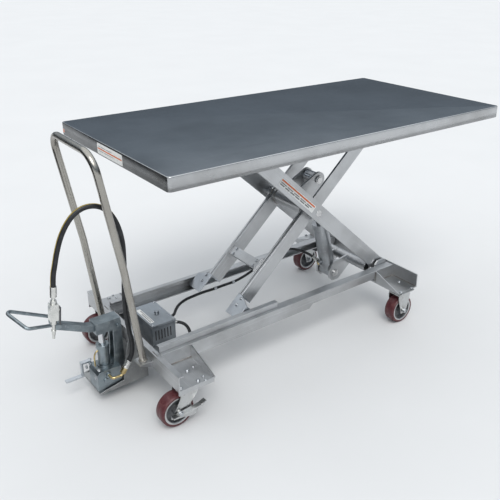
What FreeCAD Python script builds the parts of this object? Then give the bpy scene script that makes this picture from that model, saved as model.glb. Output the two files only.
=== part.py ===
"""Hand and air powered scissor lift table on four casters, as a parametric FreeCAD document.

Frame: millimetres, +Z up, +X from the push handle towards the far end, +Y to the pusher's left.
The origin is on the floor under the middle of the whole table, the foot pedal included.
The deck is modelled at the top of its travel.
"""
import FreeCAD, Part
import math
import os
from types import SimpleNamespace
import Sketcher
from FreeCAD import Placement, Rotation, Vector

os.makedirs("parts", exist_ok=True)
doc = FreeCAD.newDocument("scissor_lift_table")
nodes = []

# ---------------------------------------------------------------- driving dimensions

SIZES = {
    # deck: a folded stainless pan on two roller tracks
    "deck_mid": 200.0, "deck_span": 1600.0, "deck_width": 813.0, "deck_top": 936.0,
    "deck_lip": 48.0, "deck_gauge": 3.0, "deck_corner": 14.0,
    "track_inner": 172.0, "track_outer": 212.0, "track_wall": 6.0, "track_flange": 10.8,
    "track_low": 862.0, "track_start": -560.0, "track_end": 640.0,
    "rib_depth": 32.0, "rib_width": 40.0, "rib_wall": 3.0, "rib_start": -520.0, "rib_pitch": 240.0,
    "deck_ear_inner": 126.0, "deck_ear_wall": 8.0, "deck_ear_width": 64.0,
    # scissor legs
    "leg_reach": 1018.7, "lift_angle": 42.17, "pivot_along": 581.0, "pivot_height": 212.7,
    "leg_wall": 10.0, "outer_leg_in": 158.5, "outer_leg_depth": 65.0,
    "inner_leg_in": 111.0, "inner_leg_depth": 62.0,
    "doubler_in": 99.0, "doubler_wall": 8.0, "leg_sawn": 60.0,
    "pivot_pin": 12.7, "pin_slack": 0.05, "axle_pin": 10.0,
    "centre_tube": 35.0, "centre_tube_wall": 6.0, "centre_pin": 15.0, "collar": 24.0,
    "brace_along": 176.0, "brace_depth": 40.0, "brace_height": 30.0, "brace_wall": 4.0,
    "foot_tube": 22.5, "foot_tube_wall": 5.0, "foot_tube_back": 250.0, "foot_tube_height": 214.5,
    # rollers
    "roller": 25.4, "roller_in": 184.5, "roller_out": 200.0, "deck_roller_in": 178.0,
    "deck_roller_out": 198.0,
    # hydraulic cylinder
    "ram_foot_along": 425.0, "ram_foot_height": 166.0, "ram_eye_along": 307.0, "ram_eye_height": 644.0,
    "barrel": 34.0, "barrel_wall": 6.0, "barrel_length": 262.0, "rod": 18.0, "rod_slack": 0.05,
    "gland": 38.0, "gland_length": 26.0, "ram_ear_in": 33.0, "ram_ear_wall": 10.0, "ram_pin": 12.7,
    "foot_ear_in": 36.0, "eye_half": 31.0, "eye_radius": 27.0,
    # base rails
    "rail_out": 221.6, "rail_in": 183.5, "rail_web": 4.6, "rail_low": 182.0, "rail_floor": 5.0,
    "rail_top": 219.6, "rail_start": -567.0, "rail_end": 625.0, "deep_low": 165.0, "deep_end": 120.0,
    "deep_step": 20.0, "guard_end": -35.0, "guard_top": 243.0, "guard_wall": 3.0, "guard_out": 206.0,
    # handle end channel and far end channel
    "front_face": -590.0, "front_back": -450.0, "front_low": 160.0, "front_top": 221.0,
    "front_reach": 376.0, "plate": 5.0, "pan_lip": 14.0, "front_flange": 21.0,
    "rear_face": 630.0, "rear_front": 510.0, "rear_top": 224.0, "rear_reach": 362.0,
    # casters
    "wheel": 63.5, "wheel_half": 25.0, "tread_depth": 11.0, "wheel_side": 323.4,
    "front_wheel": -582.0, "rear_wheel": 562.0, "swivel_along": -540.0,
    "caster_plate": 4.0, "race": 30.0, "race_height": 12.0, "fork_gap": 28.5, "fork_wall": 3.5,
    "fork_half": 19.0, "axle": 6.0, "crown": 4.0, "brake_web": 3.0, "brake_flange": 20.0,
    # push handle
    "handle_tube": 12.7, "handle_wall": 1.6, "handle_side": 169.0, "handle_foot": -615.0,
    "handle_base": 190.0, "handle_kink": -655.0, "handle_kink_height": 554.0,
    "handle_top": -722.5, "handle_top_height": 966.0, "handle_bend": 66.0,
    # foot pump
    "tray_low": 47.0, "tray_start": -751.0, "tray_end": -557.0, "tray_half": 75.0,
    "block_start": -750.0, "block_end": -658.0, "block_near": -70.0, "block_far": 6.0,
    "block_top": 132.0, "pump_along": -702.0, "pump_side": -26.0, "pump_body": 21.0,
    "pump_top": 221.0, "plunger": 12.0, "plunger_top": 266.5, "fulcrum_along": -648.0,
    "fulcrum_height": 292.0, "fulcrum_half": 16.0, "fulcrum_wall": 6.0, "lever_half": 28.0,
    "lever_wall": 4.0, "arm_half": 14.0, "arm_reach": 138.0, "lever_top": 319.0,
    "lever_low": 277.0, "lever_start": -730.0, "lever_end": -636.0, "pedal_rod": 6.0, "pedal_tip": -1003.6,
    "release_along": -740.0, "release_height": 124.0,
    # power unit
    "unit_start": -528.0, "unit_end": -431.0, "unit_near": -80.0, "unit_far": 84.0,
    "unit_top": 243.0, "lid_top": 251.0,
    # hoses
    "air_hose": 8.75, "oil_hose": 6.0, "valve_half": 13.0,
}

sheet = doc.addObject("Spreadsheet::Sheet", "Sizes")
for row, (name, value) in enumerate(SIZES.items(), start=1):
    sheet.set(f"A{row}", name)
    sheet.set(f"B{row}", str(value))
    sheet.setAlias(f"B{row}", name)
doc.recompute()


class Size:
    """A number that keeps the sheet expression it was worked out from."""

    def __init__(self, text, value):
        self.text = text
        self.value = float(value)

    def __add__(self, other):
        return joined(self, "+", other, lambda a, b: a + b)

    def __radd__(self, other):
        return joined(other, "+", self, lambda a, b: a + b)

    def __sub__(self, other):
        return joined(self, "-", other, lambda a, b: a - b)

    def __rsub__(self, other):
        return joined(other, "-", self, lambda a, b: a - b)

    def __mul__(self, other):
        return joined(self, "*", other, lambda a, b: a * b)

    def __rmul__(self, other):
        return joined(other, "*", self, lambda a, b: a * b)

    def __truediv__(self, other):
        return joined(self, "/", other, lambda a, b: a / b)

    def __neg__(self):
        return joined(0, "-", self, lambda a, b: a - b)


def as_size(number):
    return number if isinstance(number, Size) else Size(f"({float(number):.4f})", number)


def joined(left, sign, right, work):
    left, right = as_size(left), as_size(right)
    return Size(f"({left.text} {sign} {right.text})", work(left.value, right.value))


def sine(angle):
    return Size(f"sin({angle.text} * 1deg)", math.sin(math.radians(angle.value)))


def cosine(angle):
    return Size(f"cos({angle.text} * 1deg)", math.cos(math.radians(angle.value)))


dim = SimpleNamespace(**{name: Size(f"Sizes.{name}", value) for name, value in SIZES.items()})

# ---------------------------------------------------------------- ways of making a piece

SIDES = {"left": 1, "right": -1}
RIBS_PER_SIDE = 5
NORMALS = {"XY": "XY_Plane", "XZ": "XZ_Plane", "YZ": "YZ_Plane"}
TURN_TO = {
    "X": Rotation(Vector(0, 1, 0), 90),
    "Y": Rotation(Vector(1, 0, 0), -90),
    "Z": Rotation(),
}


def bind(feature, prop, size):
    feature.setExpression(prop, as_size(size).text)


def place(feature, x=0, y=0, z=0):
    for letter, size in zip("xyz", (x, y, z)):
        bind(feature, f"Placement.Base.{letter}", size)


def keep(feature, label):
    """Name a finished sub-part, so that it is written to its own file."""
    feature.Label = label
    nodes.append(feature)
    return feature


def span(side, inner, outer):
    """The low and high Y of something between two distances from the middle, on one side."""
    return (inner, outer) if side > 0 else (-outer, -inner)


def block(name, x, y, z):
    """A box from three (low, high) pairs."""
    box = doc.addObject("Part::Box", name)
    for prop, (low, high) in zip(("Length", "Width", "Height"), (x, y, z)):
        bind(box, prop, high - low)
    place(box, x[0], y[0], z[0])
    return box


def shaft(name, axis, start, length, radius):
    """A cylinder from a start point, along X, Y or Z."""
    cylinder = doc.addObject("Part::Cylinder", name)
    bind(cylinder, "Radius", radius)
    bind(cylinder, "Height", length)
    cylinder.Placement = Placement(Vector(), TURN_TO[axis])
    place(cylinder, *start)
    return cylinder


def cross_pin(name, along, height, y, radius):
    """A cylinder along Y between two values of Y."""
    return shaft(name, "Y", (along, y[0], height), y[1] - y[0], radius)


def fuse(name, shapes):
    union = doc.addObject("Part::MultiFuse", name)
    union.Shapes = shapes
    return union


def cut(name, base, tools):
    tool = tools[0] if len(tools) == 1 else fuse(name + "_tools", tools)
    result = doc.addObject("Part::Cut", name)
    result.Base = base
    result.Tool = tool
    return result


def group(name, shapes):
    """Several separate solids that share one node."""
    compound = doc.addObject("Part::Compound", name)
    compound.Links = shapes
    return compound


def origin_plane(body, plane):
    return next(item for item in body.Origin.OriginFeatures if item.Role == NORMALS[plane])


def draw_outline(sketch, outline):
    """A closed run of lines whose corners are held at their coordinates."""
    corners = [(as_size(u), as_size(v)) for u, v in outline]
    first = sketch.GeometryCount
    count = len(corners)
    for index in range(count):
        (u0, v0), (u1, v1) = corners[index], corners[(index + 1) % count]
        line = Part.LineSegment(Vector(u0.value, v0.value, 0), Vector(u1.value, v1.value, 0))
        sketch.addGeometry(line, False)
    for index in range(count):
        following = first + (index + 1) % count
        sketch.addConstraint(Sketcher.Constraint("Coincident", first + index, 2, following, 1))
    for index, (u, v) in enumerate(corners):
        for kind, size in (("DistanceX", u), ("DistanceY", v)):
            number = sketch.addConstraint(Sketcher.Constraint(kind, first + index, 1, size.value))
            sketch.setExpression(f"Constraints[{number}]", size.text)


def draw_hole(sketch, u, v, radius):
    u, v, radius = as_size(u), as_size(v), as_size(radius)
    circle = Part.Circle(Vector(u.value, v.value, 0), Vector(0, 0, 1), radius.value)
    index = sketch.addGeometry(circle, False)
    for kind, size in (("DistanceX", u), ("DistanceY", v)):
        number = sketch.addConstraint(Sketcher.Constraint(kind, index, 3, size.value))
        sketch.setExpression(f"Constraints[{number}]", size.text)
    number = sketch.addConstraint(Sketcher.Constraint("Radius", index, radius.value))
    sketch.setExpression(f"Constraints[{number}]", radius.text)


def plate(name, plane, outline, ends, holes=()):
    """A plate cut to an outline in XY, XZ or YZ and padded between two ends of the third axis."""
    body = doc.addObject("PartDesign::Body", name)
    sketch = body.newObject("Sketcher::SketchObject", name + "_outline")
    sketch.AttachmentSupport = [(origin_plane(body, plane), "")]
    sketch.MapMode = "FlatFace"
    shift = -ends[1] if plane == "XZ" else as_size(ends[0])
    bind(sketch, "AttachmentOffset.Base.z", shift)
    draw_outline(sketch, outline)
    for hole in holes:
        draw_hole(sketch, *hole)
    pad = body.newObject("PartDesign::Pad", name + "_pad")
    pad.Profile = sketch
    bind(pad, "Length", ends[1] - ends[0])
    body.Tip = pad
    return body


def ring(name, axis, start, length, outer, inner):
    """A round tube or bush along X, Y or Z."""
    body = shaft(name + "_outer", axis, start, length, outer)
    bore = shaft(name + "_bore", axis, start, length, inner)
    return cut(name, body, [bore])


def cross_ring(name, along, height, y, outer, inner):
    return ring(name, "Y", (along, y[0], height), y[1] - y[0], outer, inner)


def link(name, along, height, angle, reach, depth, y, holes):
    """A flat bar with round ends, from a first eye, tilted up by an angle about Y."""
    half = depth / 2
    bar = block(name + "_bar", (0, reach), y, (-half, half))
    ends = [cross_pin(f"{name}_end{index}", at, 0, y, half) for index, at in enumerate((0, reach))]
    body = fuse(name + "_body", [bar] + ends)
    bores = [cross_pin(f"{name}_eye{index}", at, 0, y, radius)
             for index, (at, radius) in enumerate(holes)]
    result = cut(name, body, bores) if bores else body
    result.Placement = Placement(Vector(), Rotation(Vector(0, -1, 0), angle.value))
    place(result, along, 0, height)
    return result


def tube_wire(name, points, radii):
    """Straight runs joined by tangent arcs, as one wire. It prints the radii."""
    corners = [Vector(*point) for point in points]
    edges = []
    start = corners[0]
    for index in range(1, len(corners) - 1):
        before = (corners[index] - corners[index - 1])
        after = (corners[index + 1] - corners[index])
        turn = before.getAngle(after)
        radius = radii(before.Length, after.Length, turn)
        trim = radius * math.tan(turn / 2)
        enter = corners[index] - before.normalize() * trim
        leave = corners[index] + after.normalize() * trim
        inward = (after - before).normalize()
        centre_gap = radius / math.cos(turn / 2)
        middle = corners[index] + inward * (centre_gap - radius)
        if (enter - start).Length > 1e-6:
            edges.append(Part.LineSegment(start, enter).toShape())
        edges.append(Part.Arc(enter, middle, leave).toShape())
        start = leave
    edges.append(Part.LineSegment(start, corners[-1]).toShape())
    return Part.Wire(edges)


def swept(name, wire, radius, bore=0):
    """A round bar or tube along a wire."""
    first = wire.Edges[0]
    start = first.valueAt(first.FirstParameter)
    heading = first.tangentAt(first.FirstParameter)

    def along(size):
        section = Part.Wire(Part.Circle(start, heading, size).toShape())
        return wire.makePipeShell([section], True, True)

    solid = along(radius)
    if bore:
        solid = solid.cut(along(bore))
    feature = doc.addObject("Part::Feature", name)
    feature.Shape = solid
    return feature


def cord_radius(before, after, turn):
    """Each arc of a hose takes nine tenths of half the shorter run."""
    return 0.45 * min(before, after) / math.tan(turn / 2)


def hose(name, points, radius):
    """A hose along hand-chosen points, with its arc radii and its length printed."""
    wire = tube_wire(name, points, cord_radius)
    arcs = [edge.Curve.Radius for edge in wire.Edges if edge.Curve.TypeId == "Part::GeomCircle"]
    feature = swept(name, wire, radius)
    expected = math.pi * radius ** 2 * wire.Length
    print(f"{name}: length {wire.Length:.0f} mm, radii {[round(arc) for arc in arcs]} mm,",
          f"volume is {feature.Shape.Volume / expected:.4f} of section times length")
    return feature


# ---------------------------------------------------------------- places of the scissor's pivots

rise = dim.leg_reach * sine(dim.lift_angle)
run = dim.leg_reach * cosine(dim.lift_angle)
roller_along = dim.pivot_along - run
deck_pivot_height = dim.pivot_height + rise
centre_along = dim.pivot_along - run / 2
centre_height = dim.pivot_height + rise / 2
outer_leg_out = dim.outer_leg_in + dim.leg_wall
inner_leg_out = dim.inner_leg_in + dim.leg_wall


def on_inner_leg(distance, offset=0):
    """A point at a distance up the inner leg from its roller, and square to it (plus is up-left)."""
    along = roller_along + distance * cosine(dim.lift_angle) - offset * sine(dim.lift_angle)
    height = dim.pivot_height + distance * sine(dim.lift_angle) + offset * cosine(dim.lift_angle)
    return along, height


def tilted(name, shapes):
    """Pieces drawn along a level inner leg whose roller is at the origin, then raised with it."""
    union = group(name, shapes) if len(shapes) == 1 else fuse(name, shapes)
    union.Placement = Placement(Vector(), Rotation(Vector(0, -1, 0), dim.lift_angle.value))
    place(union, roller_along, 0, dim.pivot_height)
    return union


# ---------------------------------------------------------------- base frame

def base_rail(side_name, side):
    """A cold formed channel, open inward, whose lower flange is the roller's floor."""
    name = f"rail_{side_name}"
    web = plate(name + "_web", "XZ", [
        (dim.rail_start, dim.deep_low),
        (dim.deep_end, dim.deep_low),
        (dim.deep_end + dim.deep_step, dim.rail_low),
        (dim.rail_end, dim.rail_low),
        (dim.rail_end, dim.rail_top),
        (dim.rail_start, dim.rail_top),
    ], span(side, dim.rail_out - dim.rail_web, dim.rail_out))
    floor = block(name + "_floor", (dim.rail_start, dim.rail_end),
                  span(side, dim.rail_in, dim.rail_out), (dim.rail_low, dim.rail_low + dim.rail_floor))
    top = block(name + "_top", (dim.guard_end, dim.rail_end), span(side, dim.rail_in, dim.rail_out),
                (dim.rail_top - dim.rail_web, dim.rail_top))
    shelf = block(name + "_shelf", (dim.rail_start, dim.guard_end),
                  span(side, dim.guard_out - dim.guard_wall, dim.rail_out),
                  (dim.rail_top - dim.rail_web, dim.rail_top))
    return keep(fuse(name, [web, floor, top, shelf]), name)


def roller_guards():
    """An angle on each rail that covers the roller's upper half."""
    along = (dim.rail_start, dim.guard_end)
    shapes = []
    for side_name, side in SIDES.items():
        name = f"roller_guard_{side_name}"
        wall = block(name + "_wall", along, span(side, dim.guard_out - dim.guard_wall, dim.guard_out),
                     (dim.rail_top, dim.guard_top))
        cover = block(name + "_cover", along, span(side, dim.rail_in, dim.guard_out),
                      (dim.guard_top - dim.guard_wall, dim.guard_top))
        shapes.append(fuse(name, [wall, cover]))
    return keep(group("roller_guards", shapes), "roller_guards")


def front_channel():
    """The handle end channel: an upright face with a flange, a floor over the casters, turned down ends."""
    reach = (-dim.front_reach, dim.front_reach)
    face = block("front_face_wall", (dim.front_face, dim.front_face + dim.plate), reach,
                 (dim.front_low, dim.front_top))
    floor = block("front_floor", (dim.front_face, dim.front_back), reach,
                  (dim.front_low, dim.front_low + dim.plate))
    flange = block("front_flange", (dim.front_face, dim.front_face + dim.front_flange), reach,
                   (dim.front_top - dim.plate, dim.front_top))
    shapes = [face, floor, flange]
    for side_name, side in SIDES.items():
        end_y = span(side, dim.front_reach - dim.plate, dim.front_reach)
        shapes.append(block(f"front_end_{side_name}", (dim.front_face, dim.front_back), end_y,
                            (dim.front_low - dim.pan_lip, dim.front_low + dim.plate)))
        outer, inner = side * dim.front_reach, side * dim.rail_out
        shapes.append(plate(f"front_lip_{side_name}", "YZ", [
            (inner, dim.front_low),
            (outer, dim.front_low),
            (outer, dim.front_low + dim.plate + 1),
            (inner, dim.rail_top - dim.rail_web),
        ], (dim.front_back, dim.front_back + dim.plate)))
        bracket_y = span(side, dim.handle_side - 26, dim.handle_side + 26)
        shapes.append(block(f"handle_shelf_{side_name}", (dim.handle_foot - 24, dim.front_face),
                            bracket_y, (dim.handle_base - dim.plate, dim.handle_base)))
        shapes.append(plate(f"handle_rib_{side_name}", "XZ", [
            (dim.front_face, dim.handle_base - dim.plate),
            (dim.front_face, dim.front_low + 4),
            (dim.handle_foot - 20, dim.handle_base - dim.plate),
        ], span(side, dim.handle_side + 21, dim.handle_side + 26)))
    return keep(fuse("front_channel", shapes), "front_channel")


def rear_channel():
    """The far end channel: a face across both rails, and a gusseted caster pan on each side."""
    shapes = [block("rear_face_wall", (dim.rear_face - dim.plate, dim.rear_face),
                    (-dim.rear_reach, dim.rear_reach), (dim.front_low, dim.rear_top))]
    for side_name, side in SIDES.items():
        along = (dim.rear_front, dim.rear_face)
        shapes.append(block(f"rear_floor_{side_name}", along, span(side, dim.rail_in, dim.rear_reach),
                            (dim.front_low, dim.front_low + dim.plate)))
        shapes.append(block(f"rear_wall_{side_name}", along,
                            span(side, dim.rail_out - dim.plate, dim.rail_out),
                            (dim.front_low, dim.rail_low)))
        outer, inner = side * dim.rear_reach, side * dim.rail_out
        shapes.append(plate(f"rear_gusset_{side_name}", "YZ", [
            (inner, dim.front_low),
            (outer, dim.front_low),
            (outer, dim.front_low + dim.plate + 1),
            (inner, dim.rail_top - 2),
        ], (dim.rear_front, dim.rear_front + dim.plate)))
    return keep(fuse("rear_channel", shapes), "rear_channel")


def base_pivots():
    """Bracket plates that close the rails and carry the fixed pins of the outer legs."""
    shapes = []
    for side_name, side in SIDES.items():
        ear = plate(f"base_ear_{side_name}", "XZ", [
            (dim.pivot_along - 36, dim.rail_low + dim.rail_floor),
            (dim.pivot_along + 36, dim.rail_low + dim.rail_floor),
            (dim.pivot_along + 36, dim.rail_top + 4),
            (dim.pivot_along + 20, dim.pivot_height + 28),
            (dim.pivot_along - 20, dim.pivot_height + 28),
            (dim.pivot_along - 36, dim.rail_top + 4),
        ], span(side, dim.rail_in - 9, dim.rail_in - 1))
        foot = block(f"base_ear_foot_{side_name}", (dim.pivot_along - 36, dim.pivot_along + 36),
                     span(side, dim.rail_in - 1, dim.rail_in + 20),
                     (dim.rail_low + dim.rail_floor, dim.rail_low + dim.rail_floor + 6))
        pin = cross_pin(f"base_pin_{side_name}", dim.pivot_along, dim.pivot_height,
                        span(side, dim.outer_leg_in - 6, dim.rail_in - 9), dim.pivot_pin)
        head = cross_pin(f"base_pin_head_{side_name}", dim.pivot_along, dim.pivot_height,
                         span(side, dim.outer_leg_in - 7, dim.outer_leg_in - 0.5), dim.pivot_pin + 5)
        shapes.append(fuse(f"base_pivot_{side_name}", [ear, foot, pin, head]))
    return keep(group("base_pivots", shapes), "base_pivots")


# ---------------------------------------------------------------- scissor legs

def outer_leg(side_name, side):
    name = f"outer_leg_{side_name}"
    y = span(side, dim.outer_leg_in, outer_leg_out)
    bores = [(0, dim.axle_pin), (dim.leg_reach / 2, dim.centre_pin + dim.pin_slack),
             (dim.leg_reach, dim.pivot_pin + dim.pin_slack)]
    return keep(link(name, roller_along, deck_pivot_height, -dim.lift_angle, dim.leg_reach,
                     dim.outer_leg_depth, y, bores), name)


def sawn(name, bar, side, inner, outer):
    """A bar along the inner leg, cut off square before its roller."""
    waste = block(name + "_waste_block", (-dim.inner_leg_depth, dim.leg_sawn),
                  span(side, inner - 1, outer + 1), (-dim.inner_leg_depth, dim.inner_leg_depth))
    return cut(name, bar, [tilted(name + "_waste", [waste])])


def inner_leg(side_name, side):
    name = f"inner_leg_{side_name}"
    y = span(side, dim.inner_leg_in, inner_leg_out)
    bores = [(dim.leg_reach / 2, dim.centre_pin), (dim.leg_reach, dim.pivot_pin + dim.pin_slack)]
    bar = link(name + "_bar", roller_along, dim.pivot_height, dim.lift_angle, dim.leg_reach,
               dim.inner_leg_depth, y, bores)
    return keep(sawn(name, bar, side, dim.inner_leg_in, inner_leg_out), name)


def leg_doublers():
    """Second plates inside the inner legs, up to the torque tube, with distance pieces between."""
    shapes = []
    for side_name, side in SIDES.items():
        name = f"leg_doubler_{side_name}"
        outer = dim.doubler_in + dim.doubler_wall
        bar = link(name + "_bar", roller_along, dim.pivot_height, dim.lift_angle,
                   dim.leg_reach / 2, dim.inner_leg_depth, span(side, dim.doubler_in, outer),
                   [(dim.leg_reach / 2, dim.centre_tube + 0.1)])
        spacers = [cross_pin(f"{name}_spacer{index}", *on_inner_leg(at),
                             span(side, outer, dim.inner_leg_in), 9)
                   for index, at in enumerate((dim.leg_sawn + 20, dim.brace_along + 20,
                                               dim.leg_reach / 2 - 60))]
        shapes.append(fuse(name + "_set", [sawn(name, bar, side, dim.doubler_in, outer)] + spacers))
    return keep(group("leg_doublers", shapes), "leg_doublers")


def roller_brackets():
    """Bent plates on the inner legs' ends that carry the roller axles out into the rails."""
    shapes = []
    cheek_out = dim.rail_in - 4
    for side_name, side in SIDES.items():
        name = f"roller_bracket_{side_name}"
        half = dim.inner_leg_depth / 2
        shelf = plate(name + "_shelf", "XY", [
            (dim.leg_sawn, side * dim.doubler_in),
            (dim.leg_sawn, side * inner_leg_out),
            (34, side * cheek_out),
            (-30, side * cheek_out),
            (-30, side * dim.doubler_in),
        ], (half - 6, half))
        cheek = block(name + "_cheek", (-30, 34), span(side, cheek_out - 6, cheek_out), (-14, half - 6))
        web = block(name + "_web", (dim.leg_sawn - 6, dim.leg_sawn),
                    span(side, dim.doubler_in, inner_leg_out), (-half, half - 6))
        axle = cross_pin(name + "_axle", 0, 0, span(side, cheek_out - 16, dim.roller_out + 2),
                         dim.axle_pin)
        shapes.append(tilted(name, [shelf, cheek, web, axle]))
    return keep(group("roller_brackets", shapes), "roller_brackets")


def cross_brace():
    """A square tube between the inner legs, bolted through a tab at each end."""
    half_width = dim.doubler_in - dim.plate
    low, high = dim.inner_leg_depth / 2 + 1 - dim.brace_height, dim.inner_leg_depth / 2 + 1
    along = (dim.brace_along, dim.brace_along + dim.brace_depth)
    tube = block("brace_outer", along, (-half_width, half_width), (low, high))
    bore = block("brace_bore", (along[0] + dim.brace_wall, along[1] - dim.brace_wall),
                 (-half_width, half_width), (low + dim.brace_wall, high - dim.brace_wall))
    beam = cut("brace_tube", tube, [bore])
    tabs = [block(f"brace_tab_{side_name}", (along[0] - 12, along[1] + 12),
                  span(side, half_width, dim.doubler_in), (low - 6, high + 8))
            for side_name, side in SIDES.items()]
    return keep(tilted("cross_brace", [beam] + tabs), "cross_brace")


def torque_tube():
    """The tube on the scissor's centre line, welded between the inner legs."""
    y = (-dim.inner_leg_in, dim.inner_leg_in)
    return keep(cross_ring("torque_tube", centre_along, centre_height, y, dim.centre_tube,
                           dim.centre_tube - dim.centre_tube_wall), "torque_tube")


def centre_pins():
    """Stub pins through the legs at the scissor's centre, each with a distance collar."""
    shapes = []
    for side_name, side in SIDES.items():
        stub = cross_pin(f"centre_stub_{side_name}", centre_along, centre_height,
                         span(side, dim.inner_leg_in, outer_leg_out), dim.centre_pin)
        collar = cross_pin(f"centre_collar_{side_name}", centre_along, centre_height,
                           span(side, inner_leg_out, dim.outer_leg_in - 0.4), dim.collar)
        shapes.append(fuse(f"centre_pin_{side_name}", [stub, collar]))
    return keep(group("centre_pins", shapes), "centre_pins")


def lower_cross_tube():
    """The tube across the outer legs' lower ends, with the plates that hold the cylinder's foot."""
    foot_along, foot_height = dim.ram_foot_along, dim.ram_foot_height
    tube_along = dim.pivot_along - dim.foot_tube_back / 4
    tube = cross_ring("foot_tube_ring", tube_along, dim.foot_tube_height,
                      (-dim.outer_leg_in, dim.outer_leg_in), dim.foot_tube,
                      dim.foot_tube - dim.foot_tube_wall)
    shapes = [tube]
    for side_name, side in SIDES.items():
        y = span(side, dim.foot_ear_in, dim.foot_ear_in + dim.ram_ear_wall)
        ear = plate(f"foot_ear_{side_name}", "XZ", [
            (foot_along - 32, foot_height - 18),
            (foot_along - 14, foot_height - 36),
            (foot_along + 24, foot_height - 36),
            (tube_along + 2, dim.foot_tube_height - 24),
            (tube_along + 2, dim.foot_tube_height + 24),
            (foot_along + 20, foot_height + 60),
            (foot_along - 12, foot_height + 60),
            (foot_along - 32, foot_height + 20),
        ], y, [(foot_along, foot_height, dim.ram_pin)])
        bore = cross_pin(f"foot_ear_bore_{side_name}", tube_along, dim.foot_tube_height, y,
                         dim.foot_tube - dim.foot_tube_wall)
        shapes.append(cut(f"foot_ear_cut_{side_name}", ear, [bore]))
    return keep(fuse("lower_cross_tube", shapes), "lower_cross_tube")


def foot_pin():
    """The pin at the cylinder's foot, with a head and a split pin's collar."""
    out = dim.foot_ear_in + dim.ram_ear_wall
    pin = cross_pin("foot_pin_shank", dim.ram_foot_along, dim.ram_foot_height, (-out - 9, out + 9),
                    dim.ram_pin)
    head = cross_pin("foot_pin_head", dim.ram_foot_along, dim.ram_foot_height, (-out - 6, -out),
                     dim.ram_pin + 5)
    collar = cross_pin("foot_pin_collar", dim.ram_foot_along, dim.ram_foot_height, (out, out + 5),
                       dim.ram_pin + 4)
    return keep(fuse("foot_pin", [pin, head, collar]), "foot_pin")


def deck_roller_axles():
    """Stub axles at the outer legs' upper ends."""
    shapes = [cross_pin(f"deck_axle_{side_name}", roller_along, deck_pivot_height,
                        span(side, dim.outer_leg_in - 4, dim.deck_roller_out + 3), dim.axle_pin)
              for side_name, side in SIDES.items()]
    return keep(group("deck_roller_axles", shapes), "deck_roller_axles")


def roller(name, side, along, height, inner, outer):
    return keep(cross_ring(name, along, height, span(side, inner, outer), dim.roller,
                           dim.axle_pin + dim.pin_slack), name)


def rod_ears():
    """Two ears on the torque tube that take the cylinder rod's pin."""
    ram_turn = math.atan2(dim.ram_eye_height.value - centre_height.value,
                          dim.ram_eye_along.value - centre_along.value)
    ear_reach = math.hypot(dim.ram_eye_height.value - centre_height.value,
                           dim.ram_eye_along.value - centre_along.value)
    shapes = []
    for side_name, side in SIDES.items():
        name = f"rod_ear_{side_name}"
        y = span(side, dim.ram_ear_in, dim.ram_ear_in + dim.ram_ear_wall)
        nose = cross_pin(name + "_nose", ear_reach, 0, y, 33)
        blade = plate(name + "_blade", "XZ", [
            (0, -34), (ear_reach, -33), (ear_reach, 33), (60, 52), (0, 34),
        ], y)
        solid = fuse(name + "_solid", [nose, blade])
        bores = [cross_pin(name + "_seat", 0, 0, y, dim.centre_tube),
                 cross_pin(name + "_bore", ear_reach, 0, y, dim.ram_pin)]
        ear = cut(name, solid, bores)
        ear.Placement = Placement(Vector(), Rotation(Vector(0, -1, 0), math.degrees(ram_turn)))
        place(ear, centre_along, 0, centre_height)
        shapes.append(ear)
    return keep(group("rod_ears", shapes), "rod_ears")


def rod_pin_ends():
    """The rod pin's two ends in the ears. The middle of that pin is part of the rod's eye."""
    out = dim.ram_ear_in + dim.ram_ear_wall
    shapes = []
    for side_name, side in SIDES.items():
        shank = cross_pin(f"rod_pin_shank_{side_name}", dim.ram_eye_along, dim.ram_eye_height,
                          span(side, dim.ram_ear_in + 0.5, out + 9), dim.ram_pin)
        head = cross_pin(f"rod_pin_head_{side_name}", dim.ram_eye_along, dim.ram_eye_height,
                         span(side, out, out + 6), dim.ram_pin + 5)
        shapes.append(fuse(f"rod_pin_end_{side_name}", [shank, head]))
    return keep(group("rod_pin_ends", shapes), "rod_pin_ends")


# ---------------------------------------------------------------- hydraulic cylinder

ram_lean = math.degrees(math.atan2(dim.ram_eye_along.value - dim.ram_foot_along.value,
                                   dim.ram_eye_height.value - dim.ram_foot_height.value))
ram_reach = math.hypot(dim.ram_eye_along.value - dim.ram_foot_along.value,
                       dim.ram_eye_height.value - dim.ram_foot_height.value)


def leaned(feature):
    """A piece drawn upright over the origin, moved to the cylinder's foot and leaned with it."""
    feature.Placement = Placement(Vector(), Rotation(Vector(0, 1, 0), ram_lean))
    place(feature, dim.ram_foot_along, 0, dim.ram_foot_height)
    return feature


def ram_barrel():
    """The barrel with its foot eye, end block, port boss and gland."""
    bore = dim.barrel - dim.barrel_wall
    top = dim.barrel_length
    eye = cross_pin("barrel_eye", 0, 0, (-dim.eye_half, dim.eye_half), dim.eye_radius)
    base = shaft("barrel_base", "Z", (0, 0, 14), 34, dim.barrel + 1)
    tube = shaft("barrel_tube", "Z", (0, 0, 40), top - 40, dim.barrel)
    gland = shaft("barrel_gland", "Z", (0, 0, top - dim.gland_length), dim.gland_length, dim.gland)
    boss = shaft("barrel_port", "X", (-dim.barrel - 16, 0, 62), 30, 11)
    outside = fuse("barrel_outside", [eye, base, tube, gland, boss])
    inside = shaft("barrel_inside", "Z", (0, 0, 48), top - 48 - dim.gland_length, bore)
    throat = shaft("barrel_throat", "Z", (0, 0, 48), top - 40, dim.rod + dim.rod_slack)
    pin_hole = cross_pin("barrel_pin_hole", 0, 0, (-dim.eye_half, dim.eye_half),
                         dim.ram_pin + dim.pin_slack)
    return keep(leaned(cut("ram_barrel", outside, [inside, throat, pin_hole])), "ram_barrel")


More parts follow.
